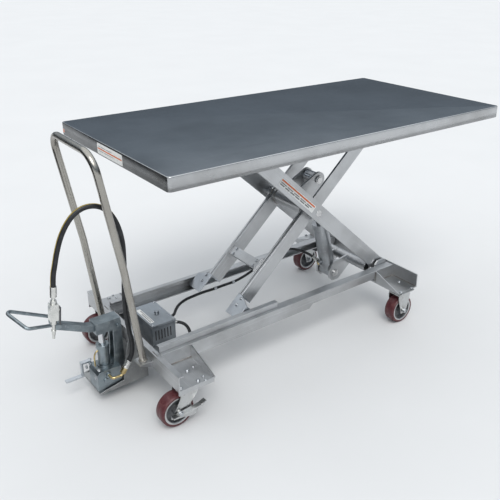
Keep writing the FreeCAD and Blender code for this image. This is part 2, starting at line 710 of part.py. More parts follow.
def ram_rod():
    """The rod with its piston and eye, and the middle of the pin through the eye."""
    piston_low = 230 - 24
    rod = shaft("rod_bar", "Z", (0, 0, piston_low), ram_reach - 20 - piston_low, dim.rod)
    piston = shaft("rod_piston", "Z", (0, 0, piston_low), 22,
                   dim.barrel - dim.barrel_wall - dim.rod_slack)
    eye = cross_pin("rod_eye", 0, ram_reach, (-dim.eye_half, dim.eye_half), dim.eye_radius)
    collar = shaft("rod_collar", "Z", (0, 0, ram_reach - 62), 42, dim.rod + 4)
    return keep(leaned(fuse("ram_rod", [rod, piston, eye, collar])), "ram_rod")


# ---------------------------------------------------------------- deck

def upright_edges(shape):
    """The numbers of a box's edges that run along Z."""
    return [number for number, edge in enumerate(shape.Edges, start=1)
            if abs(edge.tangentAt(edge.FirstParameter).z) > 0.99]


def rounded(name, base, radius):
    """A box with its upright edges rounded."""
    doc.recompute()
    fillet = doc.addObject("Part::Fillet", name)
    fillet.Base = base
    fillet.Edges = [(number, radius.value, radius.value) for number in upright_edges(base.Shape)]
    return fillet


def deck_pan():
    """The sheet with its four lips folded down and its corners welded round."""
    half_span, half_width = dim.deck_span / 2, dim.deck_width / 2
    along = (dim.deck_mid - half_span, dim.deck_mid + half_span)
    outer = block("deck_outer", along, (-half_width, half_width),
                  (dim.deck_top - dim.deck_lip, dim.deck_top))
    inner = block("deck_inner", (along[0] + dim.deck_gauge, along[1] - dim.deck_gauge),
                  (-half_width + dim.deck_gauge, half_width - dim.deck_gauge),
                  (dim.deck_top - dim.deck_lip - 1, dim.deck_top - dim.deck_gauge))
    skin = rounded("deck_outer_round", outer, dim.deck_corner)
    hollow = rounded("deck_inner_round", inner, dim.deck_corner - dim.deck_gauge)
    return keep(cut("deck_pan", skin, [hollow]), "deck_pan")


def deck_tracks():
    """Channels under the sheet, open inward, whose upper flange runs on the deck rollers."""
    under = dim.deck_top - dim.deck_gauge
    shapes = []
    for side_name, side in SIDES.items():
        name = f"deck_track_{side_name}"
        along = (dim.track_start, dim.track_end)
        top = block(name + "_top", along, span(side, dim.track_inner, dim.track_outer),
                    (under - dim.track_flange, under))
        web = block(name + "_web", along, span(side, dim.track_outer - dim.track_wall, dim.track_outer),
                    (dim.track_low, under))
        foot = block(name + "_foot", along, span(side, dim.track_inner, dim.track_outer),
                     (dim.track_low, dim.track_low + dim.track_wall))
        shapes.append(fuse(name, [top, web, foot]))
    return shapes


def deck_ribs():
    """Hat section stiffeners across the sheet, outside the tracks and past their far end."""
    under = dim.deck_top - dim.deck_gauge
    reach = dim.deck_width / 2 - dim.deck_gauge
    outside = dim.track_outer + 0.5
    shapes = []
    for index in range(RIBS_PER_SIDE + 2):
        low = dim.rib_start + index * dim.rib_pitch
        pair = (low, low + dim.rib_width)
        beside_track = index < RIBS_PER_SIDE
        for part, y in enumerate([(-reach, -outside), (outside, reach)] if beside_track
                                 else [(-reach, reach)]):
            name = f"deck_rib{index}_{part}"
            bar = block(name + "_bar", pair, y, (under - dim.rib_depth, under))
            slot = block(name + "_slot", (pair[0] + dim.rib_wall, pair[1] - dim.rib_wall), y,
                         (under - dim.rib_depth + dim.rib_wall, under))
            shapes.append(cut(name, bar, [slot]))
    return shapes


def deck_hinges():
    """Ears under the sheet, each with the fixed pin of an inner leg."""
    under = dim.deck_top - dim.deck_gauge
    shapes = []
    for side_name, side in SIDES.items():
        name = f"deck_hinge_{side_name}"
        half = dim.deck_ear_width / 2
        y = span(side, dim.deck_ear_inner, dim.deck_ear_inner + dim.deck_ear_wall)
        ear = plate(name + "_ear", "XZ", [
            (dim.pivot_along - half, under),
            (dim.pivot_along - half, deck_pivot_height),
            (dim.pivot_along - half / 2, deck_pivot_height - 24),
            (dim.pivot_along + half / 2, deck_pivot_height - 24),
            (dim.pivot_along + half, deck_pivot_height),
            (dim.pivot_along + half, under),
        ], y)
        pin = cross_pin(name + "_pin", dim.pivot_along, deck_pivot_height,
                        span(side, dim.inner_leg_in - 7, dim.deck_ear_inner), dim.pivot_pin)
        head = cross_pin(name + "_head", dim.pivot_along, deck_pivot_height,
                         span(side, dim.inner_leg_in - 7, dim.inner_leg_in - 0.5), dim.pivot_pin + 5)
        shapes.append(fuse(name, [ear, pin, head]))
    return keep(group("deck_hinges", shapes), "deck_hinges")


# ---------------------------------------------------------------- casters

wheel_ends = {"front": dim.front_wheel, "rear": dim.rear_wheel}


def wheel_parts(end, side_name, side):
    """A cast hub with a moulded tread, on a plain axle bolt."""
    along = wheel_ends[end]
    middle = side * dim.wheel_side
    y = (middle - dim.wheel_half, middle + dim.wheel_half)
    rim = dim.wheel - dim.tread_depth
    hub_name = f"{end}_hub_{side_name}"
    rim_ring = cross_ring(hub_name + "_rim", along, dim.wheel, (y[0] + 2, y[1] - 2), rim, rim - 9)
    web = cross_ring(hub_name + "_web", along, dim.wheel, (middle - 6, middle + 6), rim - 8,
                     dim.axle + dim.pin_slack)
    boss = cross_ring(hub_name + "_boss", along, dim.wheel, (middle - 27, middle + 27), 17,
                      dim.axle + dim.pin_slack)
    keep(fuse(hub_name, [rim_ring, web, boss]), hub_name)
    tread_name = f"{end}_tread_{side_name}"
    keep(cross_ring(tread_name, along, dim.wheel, y, dim.wheel, rim), tread_name)


def fork(end, side_name, side, crown_along):
    """Two cheeks under a crown plate, the axle bolt through them, and the race above."""
    name = f"{end}_fork_{side_name}"
    axle_along = wheel_ends[end]
    middle = side * dim.wheel_side
    crown_low = dim.front_low - dim.caster_plate - dim.race_height - dim.crown
    shapes = []
    for index, way in enumerate((-1, 1)):
        inner = middle + way * dim.fork_gap
        y = (inner, inner + dim.fork_wall) if way > 0 else (inner - dim.fork_wall, inner)
        cheek = plate(f"{name}_cheek{index}", "XZ", [
            (axle_along - dim.fork_half * 0.8, dim.wheel - 14),
            (axle_along + dim.fork_half * 0.8, dim.wheel - 14),
            (crown_along + 34, crown_low - 22),
            (crown_along + 34, crown_low + dim.crown),
            (crown_along - 34, crown_low + dim.crown),
            (crown_along - 34, crown_low - 22),
            (axle_along - dim.fork_half, dim.wheel + 4),
        ], y)
        shapes.append(cheek)
    outer = dim.fork_gap + dim.fork_wall
    shapes.append(block(name + "_crown", (crown_along - 34, crown_along + 34),
                        (middle - outer, middle + outer), (crown_low, crown_low + dim.crown)))
    shapes.append(shaft(name + "_race", "Z", (crown_along, middle, crown_low + dim.crown),
                        dim.race_height - 1, dim.race))
    shapes.append(cross_pin(name + "_axle", axle_along, dim.wheel,
                            (middle - outer - 11, middle + outer + 11), dim.axle))
    for index, way in enumerate((-1, 1)):
        edge = middle + way * outer
        y = (edge, edge + 5) if way > 0 else (edge - 5, edge)
        shapes.append(cross_pin(f"{name}_nut{index}", axle_along, dim.wheel, y, 10))
    return fuse(name, shapes)


def caster_plates():
    """The four fixed plates under the pans, each with its half of the race."""
    shapes = []
    for end, along in (("front", dim.swivel_along), ("rear", dim.rear_wheel)):
        for side_name, side in SIDES.items():
            name = f"caster_plate_{end}_{side_name}"
            middle = side * dim.wheel_side
            top = dim.front_low
            slab = block(name + "_slab", (along - 44, along + 44), (middle - 47, middle + 47),
                         (top - dim.caster_plate, top))
            hub = shaft(name + "_hub", "Z", (along, middle, top - dim.caster_plate - 0.7), 0.7,
                        dim.race - 6)
            shapes.append(fuse(name, [slab, hub]))
    return keep(group("caster_plates", shapes), "caster_plates")


def wheel_brake(side_name, side):
    """A side lever on the axle bolt: an upright web with a foot flange along its top."""
    name = f"wheel_brake_{side_name}"
    along, height = dim.front_wheel, dim.wheel
    inner = dim.wheel_side + dim.fork_gap + dim.fork_wall + 5.6
    web = plate(name + "_web", "XZ", [
        (along - 36, height - 8), (along - 18, height - 16), (along + 14, height - 20),
        (along + 40, height - 28), (along + 62, height - 24), (along + 66, height - 8),
        (along + 96, height + 20), (along + 94, height + 23), (along + 72, height + 14),
        (along - 36, height + 4),
    ], span(side, inner, inner + dim.brake_web), [(along, height, dim.axle + 0.1)])
    flange = plate(name + "_flange", "XZ", [
        (along - 36, height), (along + 72, height + 10), (along + 96, height + 20),
        (along + 94, height + 23), (along + 72, height + 14), (along - 36, height + 4),
    ], span(side, inner, inner + dim.brake_flange))
    room = cross_pin(name + "_room", along, height,
                     span(side, inner + dim.brake_web, inner + dim.brake_flange), 11)
    bore = cross_pin(name + "_bore", along, height, span(side, inner - 1, inner + dim.brake_flange),
                     dim.axle + 0.1)
    keep(cut(name, fuse(name + "_solid", [web, flange]), [room, bore]), name)


# ---------------------------------------------------------------- push handle

def push_handle():
    """One bent tube: two legs that lean out, kink a little and meet in a cross bar."""
    side = dim.handle_side.value
    leg = [
        (dim.handle_foot.value, dim.handle_base.value + 1.5),
        (dim.handle_kink.value, dim.handle_kink_height.value),
        (dim.handle_top.value, dim.handle_top_height.value),
    ]
    points = [(x, -side, z) for x, z in leg] + [(x, side, z) for x, z in reversed(leg)]

    def bend(before, after, turn):
        return dim.handle_bend.value if turn > 1 else 900

    wire = tube_wire("push_handle", points, bend)
    tube = dim.handle_tube.value
    keep(swept("push_handle", wire, tube, tube - dim.handle_wall.value), "push_handle")


# ---------------------------------------------------------------- foot pump

def pump_tray():
    """A folded tray hung on the front channel, with a tall side on the right."""
    low, end = dim.tray_low, dim.tray_end
    half = dim.tray_half
    floor = block("tray_floor", (dim.tray_start, end), (-half, half), (low, low + dim.plate))
    outline = [
        (dim.tray_start, low), (end, low), (end, dim.front_low), (dim.front_face, dim.front_low),
        (dim.front_face, dim.front_top - 12), (dim.front_face - 38, dim.front_top + 5),
        (dim.front_face - 62, low + 62), (dim.front_face - 66, low + 24), (dim.tray_start, low + 5),
    ]
    sides = [plate(f"tray_side_{side_name}", "XZ", outline, span(side, half, half + dim.plate))
             for side_name, side in SIDES.items()]
    return keep(fuse("pump_tray", [floor] + sides), "pump_tray")


def pump_block():
    """The cast valve block, with a step at its outer end and its plugs."""
    near, far = dim.block_near, dim.block_far
    body = plate("block_body", "XZ", [
        (dim.block_start, dim.tray_low + dim.plate),
        (dim.block_end, dim.tray_low + dim.plate),
        (dim.block_end, dim.block_top),
        (dim.block_start + 10, dim.block_top),
        (dim.block_start, dim.block_top - 10),
    ], (near, far))
    shelf = block("block_shelf", (dim.block_start + 16, dim.block_end + 18), (far, far + 34),
                  (dim.tray_low + dim.plate, dim.block_top - 18))
    plug = cross_pin("block_plug", dim.block_start + 30, 92, (near - 6, near), 9)
    port = cross_pin("block_port", dim.pump_along - 6, 112, (near - 8, near), 10)
    collar = shaft("block_collar", "Z", (dim.pump_along, dim.pump_side, dim.block_top), 6,
                   dim.pump_body + 6)
    bore = shaft("block_bore", "Z", (dim.pump_along, dim.pump_side, dim.block_top), 6, dim.pump_body)
    return keep(cut("pump_block", fuse("block_solid", [body, shelf, plug, port, collar]), [bore]),
                "pump_block")


def pump_barrel():
    """The pump's upright cylinder, with a thicker head."""
    start = (dim.pump_along, dim.pump_side, dim.block_top)
    height = dim.pump_top - dim.block_top
    tube = shaft("pump_tube", "Z", start, height, dim.pump_body)
    head = shaft("pump_head", "Z", (dim.pump_along, dim.pump_side, dim.pump_top - 15), 15,
                 dim.pump_body + 3)
    bore = shaft("pump_bore", "Z", (dim.pump_along, dim.pump_side, dim.block_top + 14), height,
                 dim.plunger + dim.rod_slack)
    return keep(cut("pump_barrel", fuse("pump_barrel_solid", [tube, head]), [bore]), "pump_barrel")


def pump_plunger():
    start = (dim.pump_along, dim.pump_side, dim.block_top + 44)
    bar = shaft("plunger_bar", "Z", start, dim.plunger_top - dim.block_top - 44, dim.plunger)
    return keep(bar, "pump_plunger")


def pump_fulcrum():
    """Two uprights behind the pump, inside the lever's head, with the lever's pivot bolt."""
    shapes = []
    low = dim.block_top
    for side_name, side in SIDES.items():
        y = [dim.pump_side + level for level in span(side, dim.fulcrum_half,
                                                     dim.fulcrum_half + dim.fulcrum_wall)]
        shapes.append(plate(f"fulcrum_{side_name}", "XZ", [
            (dim.block_end - 20, low - 18),
            (dim.block_end + 22, low - 18),
            (dim.block_end + 26, low + 40),
            (dim.fulcrum_along + 16, dim.fulcrum_height + 8),
            (dim.fulcrum_along + 8, dim.fulcrum_height + 16),
            (dim.fulcrum_along - 8, dim.fulcrum_height + 16),
            (dim.fulcrum_along - 16, dim.fulcrum_height + 8),
            (dim.block_end - 10, low + 50),
        ], y))
    back = block("fulcrum_back", (dim.block_end + 4, dim.block_end + 10),
                 (dim.pump_side - dim.fulcrum_half, dim.pump_side + dim.fulcrum_half),
                 (low - 18, low + 60))
    outer = dim.lever_half + 6
    pin = cross_pin("fulcrum_pin", dim.fulcrum_along, dim.fulcrum_height,
                    (dim.pump_side - outer, dim.pump_side + outer), 6)
    body = fuse("fulcrum_body", shapes + [back, pin])
    room = block("fulcrum_room", (dim.block_end - 60, dim.block_end), (dim.block_near, dim.block_far),
                 (dim.tray_low, low))
    return keep(cut("pump_fulcrum", body, [room]), "pump_fulcrum")


def pump_lever():
    """The folded head over the plunger, its arm and yoke, and the bent rod that the foot presses."""
    middle, outer = dim.pump_side, dim.lever_half
    start, top = dim.lever_start, dim.lever_top
    tip = start - dim.arm_reach
    across = (middle - outer, middle + outer)
    shapes = [
        block("lever_top_plate", (start, dim.lever_end), across, (top - dim.lever_wall, top)),
        block("lever_front", (start, start + dim.lever_wall), across, (dim.lever_low, top)),
        block("lever_yoke", (tip - 2, tip + 22), across, (top + 35, top + 59)),
        plate("lever_arm", "XZ", [
            (start, top - 31), (start, top - 3), (start - 20, top), (tip, top + 55), (tip, top + 29),
            (start - 16, top - 29),
        ], (middle - dim.arm_half, middle + dim.arm_half)),
        cross_pin("lever_pusher", dim.pump_along, dim.plunger_top + 8, across, 6),
    ]
    for side_name, side in SIDES.items():
        y = [middle + level for level in span(side, outer - dim.lever_wall, outer)]
        shapes.append(block(f"lever_side_{side_name}", (start, dim.lever_end), y, (dim.lever_low, top)))
    hole = cross_pin("lever_hole", dim.fulcrum_along, dim.fulcrum_height, across, 6.1)
    lever = cut("pump_lever_plates", fuse("lever_solid", shapes), [hole])
    grip = outer.value + dim.pedal_rod.value - 0.5
    near, far = middle.value - grip, middle.value + grip
    weld, elbow = tip.value + 20, tip.value + 4
    points = [
        (weld, near, 367.7), (elbow, near, 376), (-962, near - 18, 405),
        (dim.pedal_tip.value, far + 12, 443), (elbow, far, 376), (weld, far, 367.7),
    ]

    def bend(before, after, turn):
        return 16 if turn > 1 else 40

    rod = swept("foot_pedal", tube_wire("foot_pedal", points, bend), dim.pedal_rod.value)
    keep(fuse("pump_lever", [lever, rod]), "pump_lever")


def release_pedal():
    """The cranked flat bar that opens the lowering valve, on its spindle in the block."""
    along = dim.block_start - 3
    shapes = [
        block("release_plate", (along - 22, along - 16), (10, 28), (82, 142)),
        block("release_tread", (along - 84, along - 16), (10, 28), (82, 88)),
        block("release_top", (along - 22, along + 16), (10, 28), (136, 142)),
        block("release_drop", (along + 10, along + 16), (10, 28), (114, 142)),
        cross_pin("release_spindle", dim.release_along, dim.release_height, (6.5, 34), 5),
    ]
    keep(fuse("release_pedal", shapes), "release_pedal")


# ---------------------------------------------------------------- power unit and hoses

def power_unit():
    """The air driven oil pump's box, its lid and the filler knob on the lid."""
    along = (dim.unit_start, dim.unit_end)
    y = (dim.unit_near, dim.unit_far)
    case = block("unit_outer", along, y, (dim.deep_low, dim.unit_top))
    inside = block("unit_inner", (along[0] + 4, along[1] - 4), (y[0] + 4, y[1] - 4),
                   (dim.deep_low + 4, dim.unit_top))
    keep(cut("power_unit_case", case, [inside]), "power_unit_case")
    lid = block("unit_lid", (along[0] - 2, along[1] + 2), (y[0] - 2, y[1] + 2),
                (dim.unit_top, dim.lid_top))
    knob = shaft("unit_knob", "Z", (along[0] + 62, 0, dim.lid_top), 9, 9)
    keep(fuse("power_unit_lid", [lid, knob]), "power_unit_lid")


HANG_LEAN = 6.6
AIR_ROUTE = [
    (-652, -104, 146), (-637, -108, 172), (-628, -114, 205), (-630, -122, 252), (-640, -131, 300),
    (-648, -137, 355), (-651, -140, 412), (-649, -141, 470), (-643, -141, 528), (-639, -140, 586),
    (-637, -139, 642), (-643, -138, 690), (-656, -137, 732), (-677, -136, 768), (-709, -134, 791),
    (-748, -131, 795), (-784, -128, 779), (-812, -126, 748), (-834, -123, 708), (-850, -121, 662),
    (-861, -119, 619), (-870.5, -117, 583), (-874, -117, 549),
]
OIL_ROUTE = [
    (-429, 30, 190), (-405, 31, 189), (-380, 42, 184), (-356, 64, 176), (-332, 96, 172),
    (-302, 124, 172), (-262, 142, 173), (-216, 150, 172), (-168, 151, 174), (-118, 149, 173),
    (-62, 150, 174), (-10, 149, 174), (38, 151, 180), (82, 150, 193), (122, 148, 212),
    (158, 145, 234), (194, 140, 252),
]
SHORT_ROUTE = [
    (-429, -48, 213), (-413, -48, 213), (-398.2, -53.5, 210.4), (-386.9, -63.6, 205.4),
    (-380.8, -77, 199), (-381, -95, 190), (-387, -114, 177), (-399, -130, 161), (-417, -140, 145),
    (-440, -143, 132), (-466, -136, 122), (-492, -117, 113), (-517, -91, 107), (-544, -62, 102),
    (-576, -37, 99), (-611, -23, 97), (-646, -20, 96),
]
LEG_ROUTE = [
    (195, 140, 252.5), (233, 130, 268), (270, 114, 273), (305, 92, 268), (335, 67, 256),
    (355, 41, 242), (361, 15, 231),
]


def hoses():
    keep(hose("air_hose", AIR_ROUTE, dim.air_hose.value), "air_hose")
    base = [hose("oil_hose_long", OIL_ROUTE, dim.oil_hose.value),
            hose("oil_hose_short", SHORT_ROUTE, dim.oil_hose.value)]
    keep(group("oil_hoses", base), "oil_hoses")
    keep(hose("leg_hose", LEG_ROUTE, dim.oil_hose.value), "leg_hose")


def hose_fitting():
    """The curved brass pipe from the pump block and the ferrule that holds the air hose."""
    wire = tube_wire("air_elbow", [(dim.pump_along.value - 6, dim.block_near.value - 8, 112),
                                   (dim.pump_along.value - 6, -101, 112), (-672, -102, 112),
                                   (-662, -103.3, 129.5)], lambda before, after, turn: 11)
    pipe = swept("air_pipe", wire, 5)
    run_start, run_end = Vector(*AIR_ROUTE[0]), Vector(*AIR_ROUTE[1])
    heading = (run_end - run_start).normalize()
    ferrule = doc.addObject("Part::Feature", "air_ferrule")
    ferrule.Shape = Part.makeCylinder(11, 30, run_start - heading * 30, heading)
    keep(fuse("air_fitting", [pipe, ferrule]), "air_fitting")


def hung(feature):
    """A piece drawn hanging from the origin, moved to the air hose's end and leaned with it."""
    feature.Placement = Placement(Vector(*AIR_ROUTE[-1]), Rotation(Vector(0, 1, 0), HANG_LEAN))
    return feature


def air_valve():
    """The ferrule, nut and body of the ball valve, its lever, and the plug below it."""
    half = dim.valve_half
    ferrule = shaft("valve_ferrule", "Z", (0, 0, -36), 36, 11)
    neck = shaft("valve_neck", "Z", (0, 0, -50), 16, 6)
    nut = shaft("valve_nut", "Z", (0, 0, -62), 14, 10.5)
    body = block("valve_block", (-half, half), (-half, half), (-118, -60))
    stem = shaft("valve_stem", "X", (half - 1, 0, -84), 7, 6)
    keep(hung(fuse("valve_body", [ferrule, neck, nut, body, stem])), "valve_body")
    bar = plate("valve_lever_bar", "YZ", [
        (-9, -74), (-9, -95), (-7, -141), (7, -141), (9, -95), (9, -74),
    ], (half + 6.3, half + 9.3))
    keep(hung(bar), "valve_lever")
    stem_below = shaft("plug_stem", "Z", (0, 0, -172), 54, 6)
    hexagon = shaft("plug_hex", "Z", (0, 0, -132), 13, 10.5)
    tip = shaft("plug_tip", "Z", (0, 0, -186), 16, 4.4)
    collar = shaft("plug_collar", "Z", (0, 0, -160), 6, 8)
    keep(hung(fuse("air_plug", [stem_below, hexagon, tip, collar])), "air_plug")


# ---------------------------------------------------------------- the whole table

for side_name, side in SIDES.items():
    base_rail(side_name, side)
roller_guards()
front_channel()
rear_channel()
base_pivots()
for side_name, side in SIDES.items():
    outer_leg(side_name, side)
    inner_leg(side_name, side)
    roller(f"base_roller_{side_name}", side, roller_along, dim.pivot_height, dim.roller_in,
           dim.roller_out)
    roller(f"deck_roller_{side_name}", side, roller_along, deck_pivot_height, dim.deck_roller_in,
           dim.deck_roller_out)
leg_doublers()
roller_brackets()
cross_brace()
torque_tube()
centre_pins()
lower_cross_tube()
foot_pin()
deck_roller_axles()
rod_ears()
rod_pin_ends()
ram_barrel()
ram_rod()
deck_pan()
keep(group("deck_underframe", deck_tracks() + deck_ribs()), "deck_underframe")
deck_hinges()
keep(group("rear_forks", [fork("rear", side_name, side, dim.rear_wheel)
                          for side_name, side in SIDES.items()]), "rear_forks")
for side_name, side in SIDES.items():
    keep(fork("front", side_name, side, dim.swivel_along), f"front_fork_{side_name}")
    for end in wheel_ends:
        wheel_parts(end, side_name, side)
    wheel_brake(side_name, side)
caster_plates()
push_handle()
pump_tray()
pump_block()
pump_barrel()
pump_plunger()
pump_fulcrum()
pump_lever()
release_pedal()
power_unit()
hoses()
hose_fitting()
air_valve()

doc.recompute()
broken = [item.Name for item in doc.Objects if {"Invalid", "Error"} & set(item.State)]
if broken:
    raise RuntimeError(f"these objects failed: {broken}")
for feature in nodes:
    if feature.Shape.isNull() or not feature.Shape.isValid():
        raise RuntimeError(f"{feature.Label} has no valid shape")
for feature in nodes:
    feature.Shape.exportStep(f"parts/{feature.Label}.step")
box = FreeCAD.BoundBox()
for feature in nodes:
    box.add(feature.Shape.BoundBox)
print(len(nodes), "nodes, box", box)
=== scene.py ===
"""Scissor lift table on casters: the finished look of each piece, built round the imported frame.

The file follows the table as it is put together: studio, hoses, base, casters, handle, scissor,
cylinder, deck, foot pump, power unit, hand valve, hose ends, small fixings, then the labels.
Lengths are metres.
"""
import math
import bmesh
import bpy
from mathutils import Matrix, Vector


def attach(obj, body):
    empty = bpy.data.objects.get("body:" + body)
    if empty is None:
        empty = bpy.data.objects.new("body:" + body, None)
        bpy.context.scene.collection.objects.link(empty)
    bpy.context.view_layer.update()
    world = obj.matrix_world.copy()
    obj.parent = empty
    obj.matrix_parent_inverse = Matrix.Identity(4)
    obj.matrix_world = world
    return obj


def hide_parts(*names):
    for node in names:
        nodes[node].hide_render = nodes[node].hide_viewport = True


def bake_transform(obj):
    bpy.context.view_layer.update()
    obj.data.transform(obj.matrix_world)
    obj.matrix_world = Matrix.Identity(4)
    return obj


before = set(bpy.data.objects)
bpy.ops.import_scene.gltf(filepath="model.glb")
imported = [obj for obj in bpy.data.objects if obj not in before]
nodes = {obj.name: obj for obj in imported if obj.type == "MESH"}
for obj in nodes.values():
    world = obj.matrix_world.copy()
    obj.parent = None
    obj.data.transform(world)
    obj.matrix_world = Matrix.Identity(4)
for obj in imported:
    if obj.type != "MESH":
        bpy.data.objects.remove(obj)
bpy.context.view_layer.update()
scene = bpy.context.scene

# ---------------------------------------------------------------- camera
# A long view from the handle's right side and a little above the deck. The lens is slid a little
# sideways and down, so that the table sits in the middle of a wide frame.
azimuth, elevation, roll = math.radians(-38.529), math.radians(23.088), math.radians(0.667)
back = Vector((math.sin(azimuth) * math.cos(elevation), -math.cos(azimuth) * math.cos(elevation),
               math.sin(elevation)))
level = (-back).cross(Vector((0, 0, 1))).normalized()
upright = level.cross(-back)
lens = bpy.data.cameras.new("camera")
lens.sensor_width = 36
lens.lens = 46.39
lens.shift_x, lens.shift_y = -0.0603, -0.0476
lens.clip_end = 200
camera = bpy.data.objects.new("camera", lens)
scene.collection.objects.link(camera)
across = math.cos(roll) * level + math.sin(roll) * upright
upward = -math.sin(roll) * level + math.cos(roll) * upright
camera.matrix_world = Matrix.Translation((-1.4334, -1.9704, 1.5322)) @ Matrix(
    (across, upward, back)).transposed().to_4x4()
scene.camera = camera

# ---------------------------------------------------------------- floor and light
# A pale seamless floor under a broad soft sky, with one large lamp for gentle shadows.
# A black card, as a studio uses, stands to the left where only the metal reflects it.
scene.view_settings.view_transform = "Standard"


def matter(name, colour, roughness, metallic=0.0):
    """A new material with its even values set on the shader."""
    material = bpy.data.materials.new(name)
    material.use_nodes = True
    shader = material.node_tree.nodes["Principled BSDF"]
    shader.inputs["Base Color"].default_value = (*colour, 1)
    shader.inputs["Roughness"].default_value = roughness
    shader.inputs["Metallic"].default_value = metallic
    return material, material.node_tree, shader


def on_object(tree, turn=(0, 0, 0), stretch=(1, 1, 1)):
    """Object coordinates, turned and then stretched."""
    where = tree.nodes.new("ShaderNodeTexCoord")
    turned, stretched = (tree.nodes.new("ShaderNodeMapping") for _ in range(2))
    turned.inputs["Rotation"].default_value = turn
    stretched.inputs["Scale"].default_value = stretch
    tree.links.new(where.outputs["Object"], turned.inputs["Vector"])
    tree.links.new(turned.outputs["Vector"], stretched.inputs["Vector"])
    return stretched.outputs["Vector"]


def noise(tree, vector, scale, detail=4.0, grit=0.55):
    """A cloudy pattern, from 0 to 1."""
    cloud = tree.nodes.new("ShaderNodeTexNoise")
    cloud.inputs["Scale"].default_value = scale
    cloud.inputs["Detail"].default_value = detail
    cloud.inputs["Roughness"].default_value = grit
    tree.links.new(vector, cloud.inputs["Vector"])
    return cloud.outputs["Fac"]


def ranged(tree, value, low, high, to_low=0.0, to_high=1.0):
    """A value's stretch from low to high, spread from to_low to to_high and held there."""
    spread = tree.nodes.new("ShaderNodeMapRange")
    for socket, number in zip(("From Min", "From Max", "To Min", "To Max"),
                              (low, high, to_low, to_high)):
        spread.inputs[socket].default_value = number
    tree.links.new(value, spread.inputs["Value"])
    return spread.outputs["Result"]


def blended(tree, factor, first, second):
    """Two colours or colour sockets, mixed by a factor."""
    mix = tree.nodes.new("ShaderNodeMix")
    mix.data_type = "RGBA"
    tree.links.new(factor, mix.inputs["Factor"])
    for socket, colour in ((mix.inputs[6], first), (mix.inputs[7], second)):
        if isinstance(colour, tuple):
            socket.default_value = (*colour, 1)
        else:
            tree.links.new(colour, socket)
    return mix.outputs[2]


def embossed(tree, shader, height, depth, strength=1.0):
    """Fine relief that only the light shows."""
    bump = tree.nodes.new("ShaderNodeBump")
    bump.inputs["Distance"].default_value = depth
    bump.inputs["Strength"].default_value = strength
    tree.links.new(height, bump.inputs["Height"])
    tree.links.new(bump.outputs["Normal"], shader.inputs["Normal"])


def finished(name, mesh, *materials, smooth=True):
    """An object from a bmesh, at the origin, with its materials."""
    data = bpy.data.meshes.new(name)
    mesh.to_mesh(data)
    mesh.free()
    for material in materials:
        data.materials.append(material)
    for face in data.polygons:
        face.use_smooth = smooth
    piece = bpy.data.objects.new(name, data)
    scene.collection.objects.link(piece)
    return piece


floor_paper, tree, shader = matter("floor_paper", (0.66, 0.665, 0.67), 0.9)
fibre = noise(tree, on_object(tree), 1.3, 5)
tree.links.new(blended(tree, ranged(tree, fibre, 0.3, 0.7), (0.655, 0.66, 0.665), (0.675, 0.68, 0.685)),
               shader.inputs["Base Color"])
mesh = bmesh.new()
bmesh.ops.create_grid(mesh, x_segments=8, y_segments=8, size=45)
finished("floor", mesh, floor_paper)

card_black, tree, shader = matter("card_black", (0.02, 0.022, 0.025), 0.9)
tree.links.new(ranged(tree, noise(tree, on_object(tree), 6), 0.2, 0.8, 0.86, 0.94),
               shader.inputs["Roughness"])
mesh = bmesh.new()
bmesh.ops.create_grid(mesh, x_segments=2, y_segments=2, size=0.5)
bmesh.ops.scale(mesh, vec=(1.5, 4.4, 1), verts=mesh.verts)
bmesh.ops.rotate(mesh, verts=mesh.verts, cent=(0, 0, 0),
                 matrix=Matrix.Rotation(math.radians(90), 3, "Y"))
bmesh.ops.translate(mesh, vec=(-1.9, 1.9, 0.76), verts=mesh.verts)
card = finished("black_card", mesh, card_black)
card.visible_camera = card.visible_shadow = card.visible_diffuse = False

sky = bpy.data.worlds.new("soft_sky")
sky.use_nodes = True
tree = sky.node_tree
way = tree.nodes.new("ShaderNodeTexCoord")
parts = tree.nodes.new("ShaderNodeSeparateXYZ")
ramp = tree.nodes.new("ShaderNodeValToRGB")
tree.links.new(way.outputs["Generated"], parts.inputs[0])
tree.links.new(parts.outputs["Z"], ramp.inputs["Fac"])
tree.links.new(ramp.outputs["Color"], tree.nodes["Background"].inputs["Color"])
stops = ramp.color_ramp.elements
stops[0].position, stops[0].color = 0.10, (0.15, 0.18, 0.215, 1)
stops[1].position, stops[1].color = 0.62, (1.0, 1.03, 1.06, 1)
middle = stops.new(0.36)
middle.color = (0.30, 0.345, 0.39, 1)
tree.nodes["Background"].inputs["Strength"].default_value = 1.15
scene.world = sky

lamp = bpy.data.lights.new("key", "SUN")
lamp.energy = 1.5
lamp.angle = math.radians(35)
lamp.color = (1, 0.985, 0.96)
key = bpy.data.objects.new("key", lamp)
key.matrix_world = (Matrix.Rotation(math.radians(-25), 4, "Z")
                    @ Matrix.Rotation(math.radians(38), 4, "X"))
scene.collection.objects.link(key)

